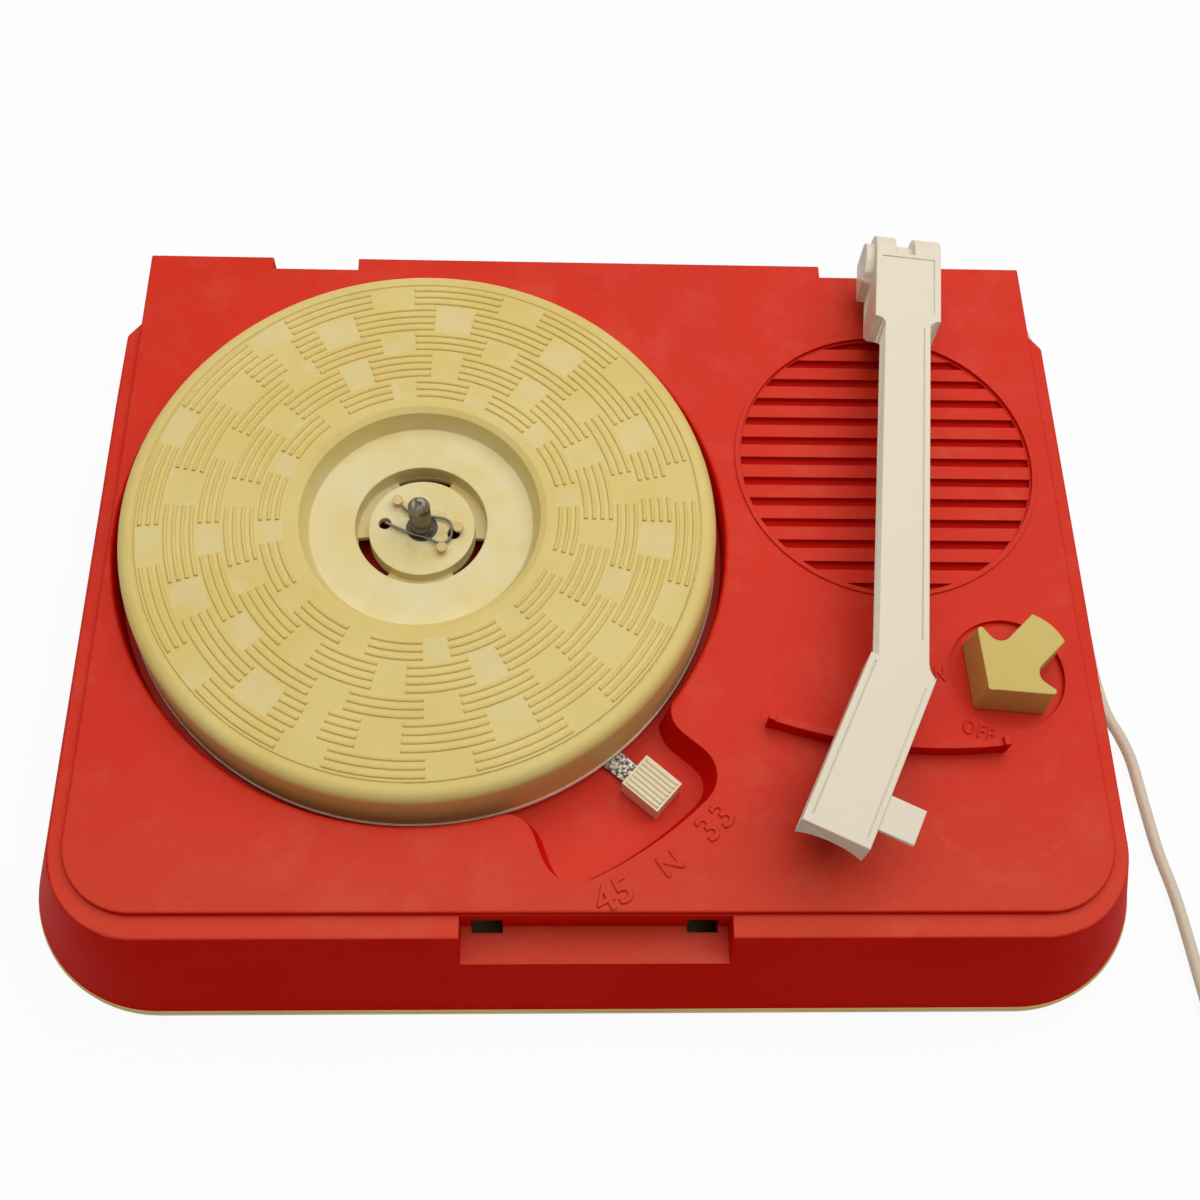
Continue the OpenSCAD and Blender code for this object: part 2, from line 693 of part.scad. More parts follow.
module motor_core() {
    w = motor_w;
    color([0.45, 0.45, 0.47]) translate([motor_x, motor_y, 0]) difference() {
        block([-w / 2, -w * 0.42, motor_z], [w / 2, w * 0.42, motor_z + motor_h]);
        rod(9, motor_z - 1, motor_z + motor_h + 1);
        for (s = [-1, 1]) block([s * w * 0.29 - 5, -w * 0.2, motor_z - 1], [s * w * 0.29 + 5, w * 0.2 - 4,
            motor_z + motor_h + 1]);
        for (s = [-1, 1]) translate([s * w * 0.36, w * 0.3, 0]) rod(screw_r + 0.3, motor_z - 1,
            motor_z + motor_h + 1);
    }
}

module motor_coil() {
    w = motor_w;
    color([0.72, 0.38, 0.20]) translate([motor_x, motor_y, 0]) for (s = [-1, 1])
        block([s * w * 0.29 - 4.8, -w * 0.2 + 0.2, motor_z - 4], [s * w * 0.29 + 4.8, w * 0.2 - 4.2,
            motor_z + motor_h + 1.2]);
}

module motor_plate() {
    w = motor_w;
    t = 1.5;
    color([0.62, 0.62, 0.64]) translate([motor_x, motor_y, 0]) difference() {
        union() {
            block([-w / 2, -7, motor_top - t], [w / 2, 7, motor_top]);
            rod(6, motor_z + motor_h, motor_top - t + e);
            block([-7, 0, motor_top - t], [7, w * 0.42, motor_top]);
            block([-7, w * 0.42 - 6, motor_z + motor_h], [7, w * 0.42, motor_top - t + e]);
        }
        rod(motor_shaft_r + run_gap, motor_z, motor_top + 1);
        for (s = [-1, 1]) translate([s * w * 0.36, 0, 0]) rod(screw_r + run_gap, motor_top - 3,
            motor_top + 1);
    }
}

module motor_rotor() {
    step = idler_z - 1;
    color([0.78, 0.66, 0.36]) translate([motor_x, motor_y, 0]) {
        rod(motor_shaft_r, motor_z + 1, well_z + 3.1);
        rod(7.5, motor_z + 1, motor_z + motor_h - 0.6);
        rod(pulley_r * 1.35, well_z + 3, step);
        rod(pulley_r, step - e, pulley_top);
        rod(pulley_r + 1.2, pulley_top - e, pulley_top + 0.8);
    }
}

module motor_screws() {
    color([0.70, 0.70, 0.70]) translate([motor_x, motor_y, 0]) for (s = [-1, 1])
        translate([s * motor_w * 0.36, 0, 0]) {
            rod(screw_r, motor_top - 1.5, well_z + 0.1);
            rod(screw_r + 1.5, well_z, well_z + 1.4);
        }
}

module idler_arm() {
    t = 1.2;
    color([0.60, 0.60, 0.62]) translate([idler_x, idler_y, 0]) difference() {
        union() {
            rod(4, arm_z - t, arm_z);
            rotate([0, 0, atan2(post_dy, post_dx)]) block([0, -3.5, arm_z - t], [norm([post_dx, post_dy]),
                3.5, arm_z]);
            translate([post_dx, post_dy, 0]) rod(4, arm_z - t, arm_z);
            translate([post_dx, post_dy, 0]) rod(2.8, well_z, arm_z - t + e);
            translate([post_dx, post_dy, 0]) rod(screw_r, well_under - 1.5, well_z + e);
        }
        rod(idler_pin_r, arm_z - t - 1, arm_z + 1);
    }
}

module idler_pin() {
    color([0.68, 0.68, 0.70]) translate([idler_x, idler_y, 0]) {
        rod(idler_pin_r, arm_z - 1.2, idler_z + idler_t + 1.4);
        rod(idler_pin_r + 1.3, idler_z + idler_t + 0.4, idler_z + idler_t + 1.4);
        rod(idler_pin_r + 1.3, arm_z, arm_z + 1.6);
    }
}

module idler_wheel() {
    color([0.30, 0.30, 0.32]) translate([idler_x, idler_y, 0]) difference() {
        union() {
            rod(4, idler_z - 0.3, idler_z + idler_t + 0.2);
            rod(idler_r - 3, idler_z + 1, idler_z + idler_t - 1);
        }
        rod(idler_pin_r + run_gap, idler_z - 2, idler_z + idler_t + 2);
    }
}

module idler_tyre() {
    color([0.08, 0.08, 0.08]) translate([idler_x, idler_y, 0])
        ring(idler_r, idler_r - 3, idler_z, idler_z + idler_t);
}

module speed_lever() {
    l = lever_r + cap_l / 2 - 1.5;
    color([0.62, 0.62, 0.60]) translate([lever_x, lever_y, 0]) rotate([0, 0, lever_a]) difference() {
        union() {
            rod(lever_w * 0.75, lever_z, lever_z + lever_t);
            block([0, -lever_w / 2, lever_z], [l, lever_w / 2, lever_z + lever_t]);
        }
        rod(2.2 + run_gap, lever_z - 1, lever_z + lever_t + 1);
    }
}

module lever_cap() {
    color([0.93, 0.90, 0.80]) translate([lever_x, lever_y, 0]) rotate([0, 0, lever_a]) difference() {
        translate([lever_r, 0, 0]) {
            block([-cap_l / 2, -cap_w / 2, lever_z - 0.2], [cap_l / 2, cap_w / 2, lever_z + cap_h]);
            for (k = [-3:3]) translate([0.9 - cap_l / 2, k * cap_w / 7.6, lever_z + cap_h]) rotate([0, 90, 0])
                cylinder(r = 0.5, h = cap_l - 1.8);
        }
        block([lever_r - cap_l, -lever_w / 2, lever_z], [lever_r + cap_l / 2 - 1.5, lever_w / 2,
            lever_z + lever_t]);
    }
}

module lever_pivot() {
    color([0.70, 0.70, 0.70]) translate([lever_x, lever_y, 0]) {
        rod(screw_r, well_under - 2, well_z + e);
        rod(2.2, well_z, lever_z + lever_t + 0.3);
        rod(4, lever_z + lever_t + 0.25, lever_z + lever_t + 1.6);
    }
}

// Place of the parked arm: pivot at the origin, arm along -Y
module arm_place() {
    translate([arm_x, arm_y, 0]) rotate([0, 0, arm_a]) children();
}

// Place of the head: its back end in the middle at the origin, head along -Y
module head_place() {
    translate([0, -neck_l, 0]) rotate([0, 0, -head_a]) children();
}

// Side of the arm's rear end, drawn in y and z
module rear_side(r) {
    polygon([[pin_y, rear_low], [pin_y, arm_top], [-34, arm_top], [-34, neck_z], [-25, neck_z], [-14,
        rear_low]]);
    intersection() {
        translate([pin_y, pin_z]) circle(r = r);
        translate([pin_y - 1, rear_low]) square([rear_r + 5, arm_top - rear_low]);
    }
}

// Inside of the arm's rear end, open below and at the low back for the turret
module rear_hollow() {
    r = rear_r - 5;
    translate([pin_y, pin_z]) circle(r = r);
    translate([-19, pin_z - 30]) square([19 + pin_y - 4, arm_top - arm_t - pin_z + 30]);
    translate([pin_y - 5, pin_z - 30]) square([rear_r + 20, 26.8]);
}

// Plan of the arm's rear end with eased shoulders into the neck
module rear_plan() {
    q = 3;
    translate([-rear_w / 2, -20]) square([rear_w, 45]);
    translate([-neck_w / 2, -36]) square([neck_w, 20]);
    for (m = [0, 1]) mirror([m, 0]) difference() {
        translate([neck_w / 2 - e, -20 - q]) square([q + e, q + e]);
        translate([neck_w / 2 + q, -20 - q]) circle(r = q);
    }
}

module across(w) {
    rotate([90, 0, 90]) translate([0, 0, -w]) linear_extrude(2 * w) children();
}

module tonearm() {
    hin = head_w / 2 - arm_t;
    color([0.93, 0.90, 0.82]) arm_place() difference() {
        union() {
            intersection() {
                across(rear_w / 2) rear_side(rear_r - 0.1);
                translate([0, 0, pin_z - 30]) linear_extrude(60) rear_plan();
            }
            translate([0, -neck_l, neck_z]) linear_extrude(neck_h) polygon([[neck_w / 2 - 1, 3],
                [neck_w / 2, 1.5],
                [neck_w / 2 + 0.25, -0.4], [neck_w / 2 + 0.95, -2], [neck_w / 2 + 1.9, -3],
                    [neck_w / 2 - 1, -3]]);
            block([-neck_w / 2, -neck_l - 2, neck_z], [neck_w / 2, -18, arm_top]);
            head_place() {
                block([-head_w / 2, -head_l, head_z], [head_w / 2, 0, arm_top]);
                block([head_w / 2 - 1, -head_l + 6.8, arm_top - 2.2], [head_w / 2 + 11, -head_l + 18,
                    arm_top - 0.6]);
            }
            translate([-rear_w / 2 - 3, 0, 0]) rotate([90, 0, 90]) linear_extrude(3 + e) intersection() {
                union() {
                    translate([pin_y, pin_z]) circle(r = boss_out);
                    translate([pin_y - boss_out, pin_z - 14]) square([2 * boss_out, 14]);
                }
                translate([pin_y - 20, rear_low + 0.5]) square([40, 40]);
            }
        }
        across(rear_in) rear_hollow();
        block([-neck_w / 2 + arm_t, -neck_l - 3, pin_z - 20], [neck_w / 2 - arm_t, -17, arm_top - arm_t]);
        head_place() {
            block([-hin, -head_l + arm_t, head_z - 1], [hin, -20, arm_top - arm_t]);
            block([-hin, -14, head_z - 1], [hin, -arm_t, arm_top - arm_t]);
            translate([0, -head_l - 1, head_z - 9]) rotate([-90, 0, 0]) cylinder(r = 14, h = 4);
        }
        rotate([0, 90, 0]) translate([-pin_z, pin_y, -rear_w / 2 - 1.7])
            cylinder(r = pin_r + run_gap, h = rear_w + 0.8);
        translate([-4.4, 0, 0]) rotate([90, 0, 90]) linear_extrude(6.6) difference() {
            translate([pin_y - 1.6, pin_z - 3.9]) square([20, 30]);
            translate([pin_y, pin_z]) circle(r = rear_r - 3);
        }
        translate([0, 0, arm_top - 0.3]) linear_extrude(1) arm_line();
    }
}

// Fine line pressed into the top of the arm beside its edge
module arm_line() {
    g = 0.35;
    x = rear_w / 2 - 2.1;
    n = neck_w / 2 - 2.3;
    translate([-x, 6]) square([2 * x, g]);
    translate([x - g, -17.5]) square([g, 23.6]);
    translate([n, 2 - neck_l + 7]) square([g, neck_l - 9 - 23]);
    translate([0, -neck_l]) rotate(-head_a) {
        translate([head_w / 2 - 2.1, -head_l + 3]) square([g, head_l - 7]);
        translate([2.1 - head_w / 2, -head_l + 3]) square([g, head_l - 5]);
    }
}

module arm_turret() {
    color([0.90, 0.87, 0.78]) arm_place() difference() {
        union() {
            rod(turret_r, deck_z - 17, turret_z + e);
            rod(turret_w - 0.2, turret_z, turret_z + 1.6);
            block([-turret_w, -6, turret_z + 1.5], [turret_w, pin_y + 2, turret_z + 6]);
            block([-turret_w, pin_y - 4.6, turret_z + 5], [turret_w, pin_y + 2, pin_z]);
            rotate([0, 90, 0]) translate([-pin_z, pin_y, -turret_w]) cylinder(r = 5, h = 2 * turret_w);
        }
        rotate([0, 90, 0]) translate([-pin_z, pin_y, -20]) cylinder(r = pin_r, h = 40);
        ring(turret_r + 1, turret_r - 1, deck_z - 16, deck_z - 14.8);
    }
}

module lift_pin() {
    color([0.70, 0.70, 0.72]) arm_place() translate([0, pin_y, pin_z]) rotate([0, 90, 0]) {
        translate([0, 0, -rear_w / 2 - 1.6]) cylinder(r = pin_r, h = rear_w + 0.6);
    }
}

module turret_clip() {
    color([0.55, 0.55, 0.56]) arm_place() difference() {
        ring(turret_r + 3, turret_r - 1, deck_z - 15.9, deck_z - 14.9);
        block([-1.8, 0, deck_z - 20], [1.8, 20, deck_z]);
    }
}

module cartridge() {
    hin = head_w / 2 - arm_t;
    color([0.20, 0.20, 0.22]) arm_place() head_place() {
        block([-7, -head_l + 12, arm_top - arm_t - 7.5], [7, -24, arm_top - arm_t]);
        block([-5, -head_l + 6, arm_top - arm_t - 6], [5, -head_l + 12.1, arm_top - arm_t - 1]);
    }
}

module stylus() {
    tip = head_z - 1.2;
    c = arm_top - arm_t - 7.5;
    color([0.75, 0.15, 0.12]) arm_place() head_place() translate([0, -head_l + 15, 0]) {
        block([-2.5, 0, c - 1.6], [2.5, 14, c]);
        block([-0.9, -5, c - 1.4], [0.9, 0.1, c - 0.5]);
        translate([0, -4, tip]) cylinder(r1 = 0.15, r2 = 0.7, h = c - 0.5 - tip);
    }
}

module speaker_frame() {
    color([0.50, 0.50, 0.52]) translate([grille_x, grille_y, 0]) difference() {
        union() {
            rod(flange_r - 1, flange_z, flange_z + flange_t);
            for (a = [45:90:315]) rotate([0, 0, a]) translate([ear_r, 0, 0]) rod(4.2, flange_z,
                flange_z + flange_t);
            translate([0, 0, flange_z - 17]) cylinder(r1 = magnet_r + 5, r2 = flange_r - 5, h = 17 + e);
            rod(magnet_r + 5, magnet_z + 8, flange_z - 17 + e);
        }
        translate([0, 0, flange_z - 15]) cylinder(r1 = magnet_r + 3.4, r2 = flange_r - 6.2, h = 15 + e);
        rod(flange_r - 6.2, flange_z, flange_z + flange_t + 1);
        rod(8, magnet_z, flange_z);
        for (a = [0:90:270]) rotate([0, 0, a]) translate([magnet_r + 16, 0, flange_z - 13]) rotate([90, 0,
            90])
            translate([0, 0, -12]) linear_extrude(24) translate([-9, 0]) square([18, 8]);
        for (a = [45:90:315]) rotate([0, 0, a]) translate([ear_r, 0, 0])
            rod(screw_r + 0.2, flange_z - 1, flange_z + flange_t + 1);
    }
}

module speaker_cone() {
    r1 = flange_r - 6.4;
    color([0.16, 0.14, 0.13]) translate([grille_x, grille_y, 0]) rotate_extrude() {
        polygon([[0, flange_z - 10], [7.6, flange_z - 12], [7.6, flange_z - 14.6], [8.6, flange_z - 14.6],
            [8.6, flange_z - 11.6], [r1 - 4, flange_z + 0.6], [r1, flange_z + 0.6], [r1, flange_z + 1.4],
            [r1 - 4.4, flange_z + 1.4], [7.4, flange_z - 10.8], [0, flange_z - 9]]);
    }
}

module speaker_magnet() {
    color([0.30, 0.30, 0.31]) translate([grille_x, grille_y, 0]) {
        ring(magnet_r, 7, magnet_z, magnet_z + 8);
        rod(6.6, magnet_z, flange_z - 16);
        rod(magnet_r - 1, magnet_z - 2, magnet_z + e);
    }
}

module grille_cloth() {
    color([0.10, 0.08, 0.08]) translate([grille_x, grille_y, 0])
        rod(flange_r - 1, under_z - cloth_t, under_z);
}

module speaker_screws() {
    color([0.70, 0.70, 0.70]) translate([grille_x, grille_y, 0]) for (a = [45:90:315]) rotate([0, 0, a])
        translate([ear_r, 0, 0]) {
            rod(screw_r, flange_z - e, deck_z - 1.4);
            rod(screw_r + 1.4, flange_z - 1.4, flange_z);
        }
}

module amp_board() {
    color([0.45, 0.36, 0.16]) difference() {
        block([board_x[0] - 5, board_y[0] - 5, board_z], [board_x[1] + 5, board_y[1] + 5, board_z + 1.6]);
        for (x = board_x) for (y = board_y) translate([x, y, 0]) rod(1.6, board_z - 1, board_z + 3);
    }
}

module board_parts() {
    t = board_z + 1.6;
    color([0.20, 0.22, 0.45]) translate([board_x[0], board_y[0], 0]) {
        translate([21, 8, 0]) rod(6, t, t + 16);
        translate([37, 8, 0]) rod(5, t, t + 13);
        translate([51, 6, 0]) rod(4, t, t + 11);
        block([15, 22, t], [31, 25, t + 12]);
        block([37, 20, t], [41, 24, t + 5]);
        for (k = [0:4]) block([47 + 5 * k, 20, t], [49.4 + 5 * k, 30, t + 2.4]);
        block([53, -4, t], [65, 2, t + 7]);
    }
}

module switch_body() {
    low = switch_top - 16;
    color([0.22, 0.20, 0.18]) translate([knob_x, knob_y, 0]) difference() {
        union() {
            rod(11, low, switch_top);
            block([-6, -17, low + 2], [6, -9, low + 8]);
        }
        rod(shaft_r + run_gap, low + 3, switch_top + 1);
    }
}

module switch_shaft() {
    color([0.85, 0.84, 0.80]) translate([knob_x, knob_y, 0])
        rod(shaft_r, switch_top - 12, deck_z - knob_recess + 9);
}

module knob() {
    z0 = deck_z - knob_recess + 0.4;
    color([0.86, 0.77, 0.45]) translate([knob_x, knob_y, 0]) rotate([0, 0, knob_a]) difference() {
        translate([0, 0, z0]) linear_extrude(knob_h) difference() {
            union() {
                polygon([[14.2, -1.2], [14.2, 1.2], [2.2, 15], [0, 15], [0.6, 10.6], [0.6, -10.6], [0, -15],
                    [2.2, -15]]);
                translate([-14.3, -6.6]) square([16, 13.2]);
                for (m = [0, 1]) mirror([0, m]) difference() {
                    translate([-3.4, 6.6 - e]) square([4 + e, 4 + e]);
                    translate([-3.4, 10.6]) circle(r = 4);
                }
                intersection() {
                    circle(r = 16.6);
                    translate([-18, -6.6]) square([10, 13.2]);
                }
                translate([13.6, 0]) circle(r = 1.4);
                for (s = [-1, 1]) translate([1.1, s * 14.6]) circle(r = 1);
            }
        }
        rod(shaft_r, z0 - 1, deck_z - knob_recess + 9);
    }
}

module strain_relief() {
    color([0.88, 0.86, 0.78]) translate([gland_x, 0, gland_z]) rotate([-90, 0, 0]) difference() {
        union() {
            rod(cord_r + 2.15, back_y - wall - 4, back_y + e);
            rod(cord_r + 2.9, back_y, back_y + 1.8);
            rod(cord_r + 2.4, back_y + 1.7, back_y + gland_k);
            translate([0, 0, back_y + gland_k]) sphere(r = cord_r + 2.5);
            translate([0, 0, back_y + gland_k]) rotate([0, gland_turn, 0])
                cylinder(r1 = cord_r + 2.4, r2 = cord_r + 0.9, h = gland_l - gland_k);
        }
        translate([0, 0, back_y + gland_k]) rotate([0, gland_turn, 0])
            for (k = [0:3]) ring(cord_r + 4, cord_r + 0.5, 4 + 3.8 * k, 5.4 + 3.8 * k);
    }
}

// Smooth curve through the points of a route, a few steps to each stretch
function spline(p, i, t) =
    let (a = p[max(i - 1, 0)], b = p[i], c = p[i + 1], d = p[min(i + 2, len(p) - 1)])
    0.5 * (2 * b + (c - a) * t + (2 * a - 5 * b + 4 * c - d) * t * t + (3 * b - a - 3 * c + d) * t * t * t);

function smooth(p, n) = concat(
    [for (i = [0:len(p) - 2]) for (k = [0:n - 1]) spline(p, i, k / n)], [p[len(p) - 1]]);

function unit(v) = v / norm(v);

function along(p, i) = unit(p[min(i + 1, len(p) - 1)] - p[max(i - 1, 0)]);

// Corner points of the ring round one point of a path
function hoop(c, t, r, s) =
    let (a = unit(cross([0, 0, 1], t)), b = cross(t, a))
    [for (k = [0:s - 1]) c + r * (cos(360 * (k + 0.5) / s) * a + sin(360 * (k + 0.5) / s) * b)];

// Closed round tube along a path, its ends square to the given directions
module tube(p, r, s, t0, t1) {
    n = len(p);
    v = [for (i = [0:n - 1]) each hoop(p[i], i == 0 ? t0 : i == n - 1 ? t1 : along(p, i), r, s)];
    side = [for (i = [0:n - 2]) for (k = [0:s - 1]) let (a = i * s + k, b = i * s + (k + 1) % s)
        each [[a, b, b + s], [a, b + s, a + s]]];
    low = [for (k = [1:s - 2]) [0, k + 1, k]];
    high = [for (k = [1:s - 2]) [(n - 1) * s, (n - 1) * s + k, (n - 1) * s + k + 1]];
    polyhedron(points = v, faces = [for (f = concat(side, low, high)) [f[0], f[2], f[1]]]);
}

function gap_between(p, d, skip) = min([for (i = [0:len(p) - 1]) for (j = [i + skip:1:len(p) - 1])
    norm(p[i] - p[j])]) - d;

function length_of(p) = len(p) < 2 ? 0 : sum_to(p, 0, 0);
function sum_to(p, i, s) = i >= len(p) - 1 ? s : sum_to(p, i + 1, s + norm(p[i + 1] - p[i]));

module cord_run() {
    p = smooth(cord_route, 2);
    color([0.92, 0.90, 0.84]) tube(p, cord_r, 8, [sin(gland_turn), cos(gland_turn), 0], [0, -1, 0]);
    echo(run_length = length_of(p));
}

// Coil in two layers: loops wind in on the floor, climb where the winding turns, and wind out on top
coil_turns = 2 * coil_n + 0.5;
function ease(t) = t <= 0 ? 0 : t >= 1 ? 1 : t * t * (3 - 2 * t);
function coil_rad(s) = coil_r - coil_pitch * (coil_n + 0.25 - abs(s - coil_n - 0.25));
function coil_at(s) = [
    coil_x - coil_rad(s) * cos(360 * s),
    coil_y - coil_rad(s) * sin(360 * s),
    coil_z + coil_rise * ease(2 * (s - coil_n))
];
coil_path = concat(
    [[coil_x - coil_r, coil_y + 8, coil_z], [coil_x - coil_r, coil_y + 4, coil_z]],
    [for (i = [0:24 * coil_turns]) coil_at(i / 24)],
    [[coil_x + coil_r, coil_y + 4, coil_z + coil_rise]]);

module cord_coil() {
    color([0.92, 0.90, 0.84]) tube(coil_path, cord_r, 6, [0, -1, 0], [0, 1, 0]);
    echo(coil_gap = gap_between(coil_path, cord_d, 12), coil_length = length_of(coil_path));
}

module cord_tie() {
    r0 = coil_r - coil_pitch * (coil_n - 0.25) - cord_r - 0.6;
    r1 = coil_r - coil_pitch * 0.75 + cord_r + 0.6;
    z0 = coil_z - cord_r - 0.3;
    z1 = coil_z + coil_rise + cord_r + 0.3;
    color([0.15, 0.15, 0.15]) difference() {
        block([coil_x - 2, coil_y + r0 - 1, z0 - 1], [coil_x + 2, coil_y + r1 + 1, z1 + 1]);
        block([coil_x - 3, coil_y + r0, z0], [coil_x + 3, coil_y + r1, z1]);
    }
}

module cord_tail() {
    p = smooth(tail_route, 3);
    color([0.92, 0.90, 0.84]) tube(p, cord_r, 8, [0, 1, 0], [0, 1, 0]);
    echo(tail_length = length_of(p));
}

plug_y = -166;
plug_z = 6.2;

module plug_body() {
    color([0.90, 0.88, 0.82]) translate([plug_x, plug_y, 0]) difference() {
        union() {
            translate([0, 0, plug_z]) rotate([-90, 0, 0]) cylinder(r1 = cord_r + 1, r2 = cord_r + 2.4,
                h = 8 + e);
            block([-8, 8, plug_z - 5.6], [8, 24, plug_z + 5.6]);
            block([-11, 24 - e, plug_z - 6.2], [11, 28, plug_z + 6.2]);
        }
        for (s = [-1, 1]) block([s * 6.35 - 0.75, 22, plug_z - 3.1], [s * 6.35 + 0.75, 29, plug_z + 3.1]);
    }
}

module plug_pins() {
    color([0.80, 0.72, 0.45]) translate([plug_x, plug_y, 0]) for (s = [-1, 1])
        block([s * 6.35 - 0.75, 22, plug_z - 3.1], [s * 6.35 + 0.75, 44, plug_z + 3.1]);
}

top_case();
base_tray();
feet();
case_screws();
spindle();
spindle_bush();
thrust_washer();
platter();
platter_clip();
motor_core();
motor_coil();
motor_plate();
motor_rotor();
motor_screws();
idler_arm();
idler_pin();
idler_wheel();
idler_tyre();
speed_lever();
lever_cap();
lever_pivot();
tonearm();
arm_turret();
lift_pin();
turret_clip();
cartridge();
stylus();
speaker_frame();
speaker_cone();
speaker_magnet();
grille_cloth();
speaker_screws();
amp_board();
board_parts();
switch_body();
switch_shaft();
knob();
strain_relief();
cord_run();
cord_coil();
cord_tie();
cord_tail();
plug_body();
plug_pins();
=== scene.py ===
import math

import bpy
from mathutils import Matrix, Vector


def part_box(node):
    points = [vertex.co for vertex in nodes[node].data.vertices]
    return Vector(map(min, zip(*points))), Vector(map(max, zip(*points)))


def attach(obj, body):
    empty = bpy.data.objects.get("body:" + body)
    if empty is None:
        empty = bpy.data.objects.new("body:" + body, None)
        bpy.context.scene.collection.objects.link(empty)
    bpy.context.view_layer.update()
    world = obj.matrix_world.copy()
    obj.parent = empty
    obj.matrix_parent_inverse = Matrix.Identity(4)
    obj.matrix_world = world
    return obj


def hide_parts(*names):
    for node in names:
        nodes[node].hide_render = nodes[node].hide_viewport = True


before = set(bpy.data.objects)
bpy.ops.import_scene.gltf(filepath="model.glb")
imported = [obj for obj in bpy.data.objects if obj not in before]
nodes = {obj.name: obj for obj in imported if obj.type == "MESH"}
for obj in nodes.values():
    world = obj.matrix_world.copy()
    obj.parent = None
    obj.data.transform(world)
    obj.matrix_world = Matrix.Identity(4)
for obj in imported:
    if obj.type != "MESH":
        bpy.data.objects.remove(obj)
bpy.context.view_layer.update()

# Camera: a plain lens that looks steeply down on the deck from in front.
# It stands a little to the left of the middle, and is turned and rolled by a few degrees.
scene = bpy.context.scene
eye = (-0.017232, -0.20665, 0.468364)
heading, below_level, roll = -5.529, 64.448, 5.403
focal_pixels, frame_pixels, sensor = 1416.358, 1200, 36
bpy.ops.object.camera_add()
camera = bpy.context.object
camera.name = "camera"
turn = (Matrix.Rotation(math.radians(heading), 4, "Z")
        @ Matrix.Rotation(math.radians(90 - below_level), 4, "X")
        @ Matrix.Rotation(math.radians(roll), 4, "Z"))
camera.matrix_world = Matrix.Translation(eye) @ turn
camera.data.lens = focal_pixels / frame_pixels * sensor
camera.data.sensor_width = sensor
camera.data.clip_start = 0.01
scene.camera = camera
scene.view_settings.view_transform = "Standard"


# Floor and light: a white table that is seen as white and still keeps a soft shadow of the player.
# A wide soft lamp hangs above and behind it at the right, a weak one stands at the left, and the room is dim.
class Shade:
    """A value in a set of nodes: sums, differences and products of these add Math nodes."""

    def __init__(self, graph, socket):
        self.graph, self.socket = graph, socket

    def maths(self, operation, *values):
        return self.graph.node("ShaderNodeMath", {"operation": operation}, dict(enumerate(values)))

    def __add__(self, other):
        return self.maths("ADD", self, other)

    def __sub__(self, other):
        return self.maths("SUBTRACT", self, other)

    def __rsub__(self, other):
        return self.maths("SUBTRACT", other, self)

    def __mul__(self, other):
        return self.maths("MULTIPLY", self, other)

    def __gt__(self, other):
        return self.maths("GREATER_THAN", self, other)

    def __lt__(self, other):
        return self.maths("LESS_THAN", self, other)

    def __or__(self, other):
        return self.maths("MAXIMUM", self, other)

    def __pow__(self, other):
        return self.maths("POWER", self, other)

    def __abs__(self):
        return self.maths("ABSOLUTE", self)

    __radd__, __rmul__ = __add__, __mul__


class Graph:
    """The nodes of a material or of the room, all added by one method."""

    def __init__(self, tree):
        self.tree = tree

    def node(self, kind, settings=None, values=None, out=0):
        made = self.tree.nodes.new(kind)
        for name, value in (settings or {}).items():
            setattr(made, name, value)
        for name, value in (values or {}).items():
            self.put(made.inputs[name], value)
        return Shade(self, made.outputs[out])

    def put(self, socket, value):
        if isinstance(value, Shade):
            self.tree.links.new(value.socket, socket)
        else:
            socket.default_value = value

    def seen(self):
        """One where the camera, a glossy face or a clear one looks, and nought for all other light."""
        camera_ray, glossy, clear = (self.node("ShaderNodeLightPath", out=f"Is {kind} Ray")
                                     for kind in ("Camera", "Glossy", "Transmission"))
        return camera_ray | glossy | clear


class Finish(Graph):
    """A material with one main shader, on the coordinates of the piece."""

    def __init__(self, name, **fixed):
        self.material = bpy.data.materials.new(name)
        self.material.use_nodes = True
        super().__init__(self.material.node_tree)
        self.shader = self.tree.nodes["Principled BSDF"]
        for socket, value in fixed.items():
            self.shader.inputs[socket.replace("_", " ")].default_value = value
        self.place = self.node("ShaderNodeTexCoord", out="Object")

    def axes(self, x=0.0, y=0.0):
        """The three coordinates of a point of the piece, counted from the given x and y."""
        at = self.node("ShaderNodeMapping", {}, {"Vector": self.place, "Location": (-x, -y, 0.0)})
        split = self.node("ShaderNodeSeparateXYZ", {}, {"Vector": at}).socket.node
        return [Shade(self, socket) for socket in split.outputs]

    def noise(self, scale, detail=4.0, rough=0.55):
        return self.node("ShaderNodeTexNoise", {}, {"Vector": self.place, "Scale": scale, "Detail": detail,
                                                    "Roughness": rough})

    def step(self, value, low, high, to_low=0.0, to_high=1.0):
        return self.node("ShaderNodeMapRange", {"interpolation_type": "SMOOTHSTEP"},
                         dict(enumerate((value, low, high, to_low, to_high))))

    def blend(self, mask, a, b):
        """Goes from colour a to colour b; a Mix node has its colours at sockets 6, 7 and 2."""
        first, second = (v if isinstance(v, Shade) else (*v, 1.0) for v in (a, b))
        return self.node("ShaderNodeMix", {"data_type": "RGBA"}, {0: mask, 6: first, 7: second}, out=2)

    def set(self, **links):
        for name, value in links.items():
            self.put(self.shader.inputs[name.replace("_", " ")], value)

    def bump(self, height, depth, edge=0.0):
        """Raises the surface by a height, with its edges rounded in the shading."""
        values = {"Strength": 1.0, "Distance": depth, "Height": height}
        if edge:
            values["Normal"] = self.node("ShaderNodeBevel", {"samples": 4}, {"Radius": edge})
        self.set(Normal=self.node("ShaderNodeBump", {}, values))


def coat(piece, finish):
    piece.data.materials.clear()
    piece.data.materials.append(finish.material)


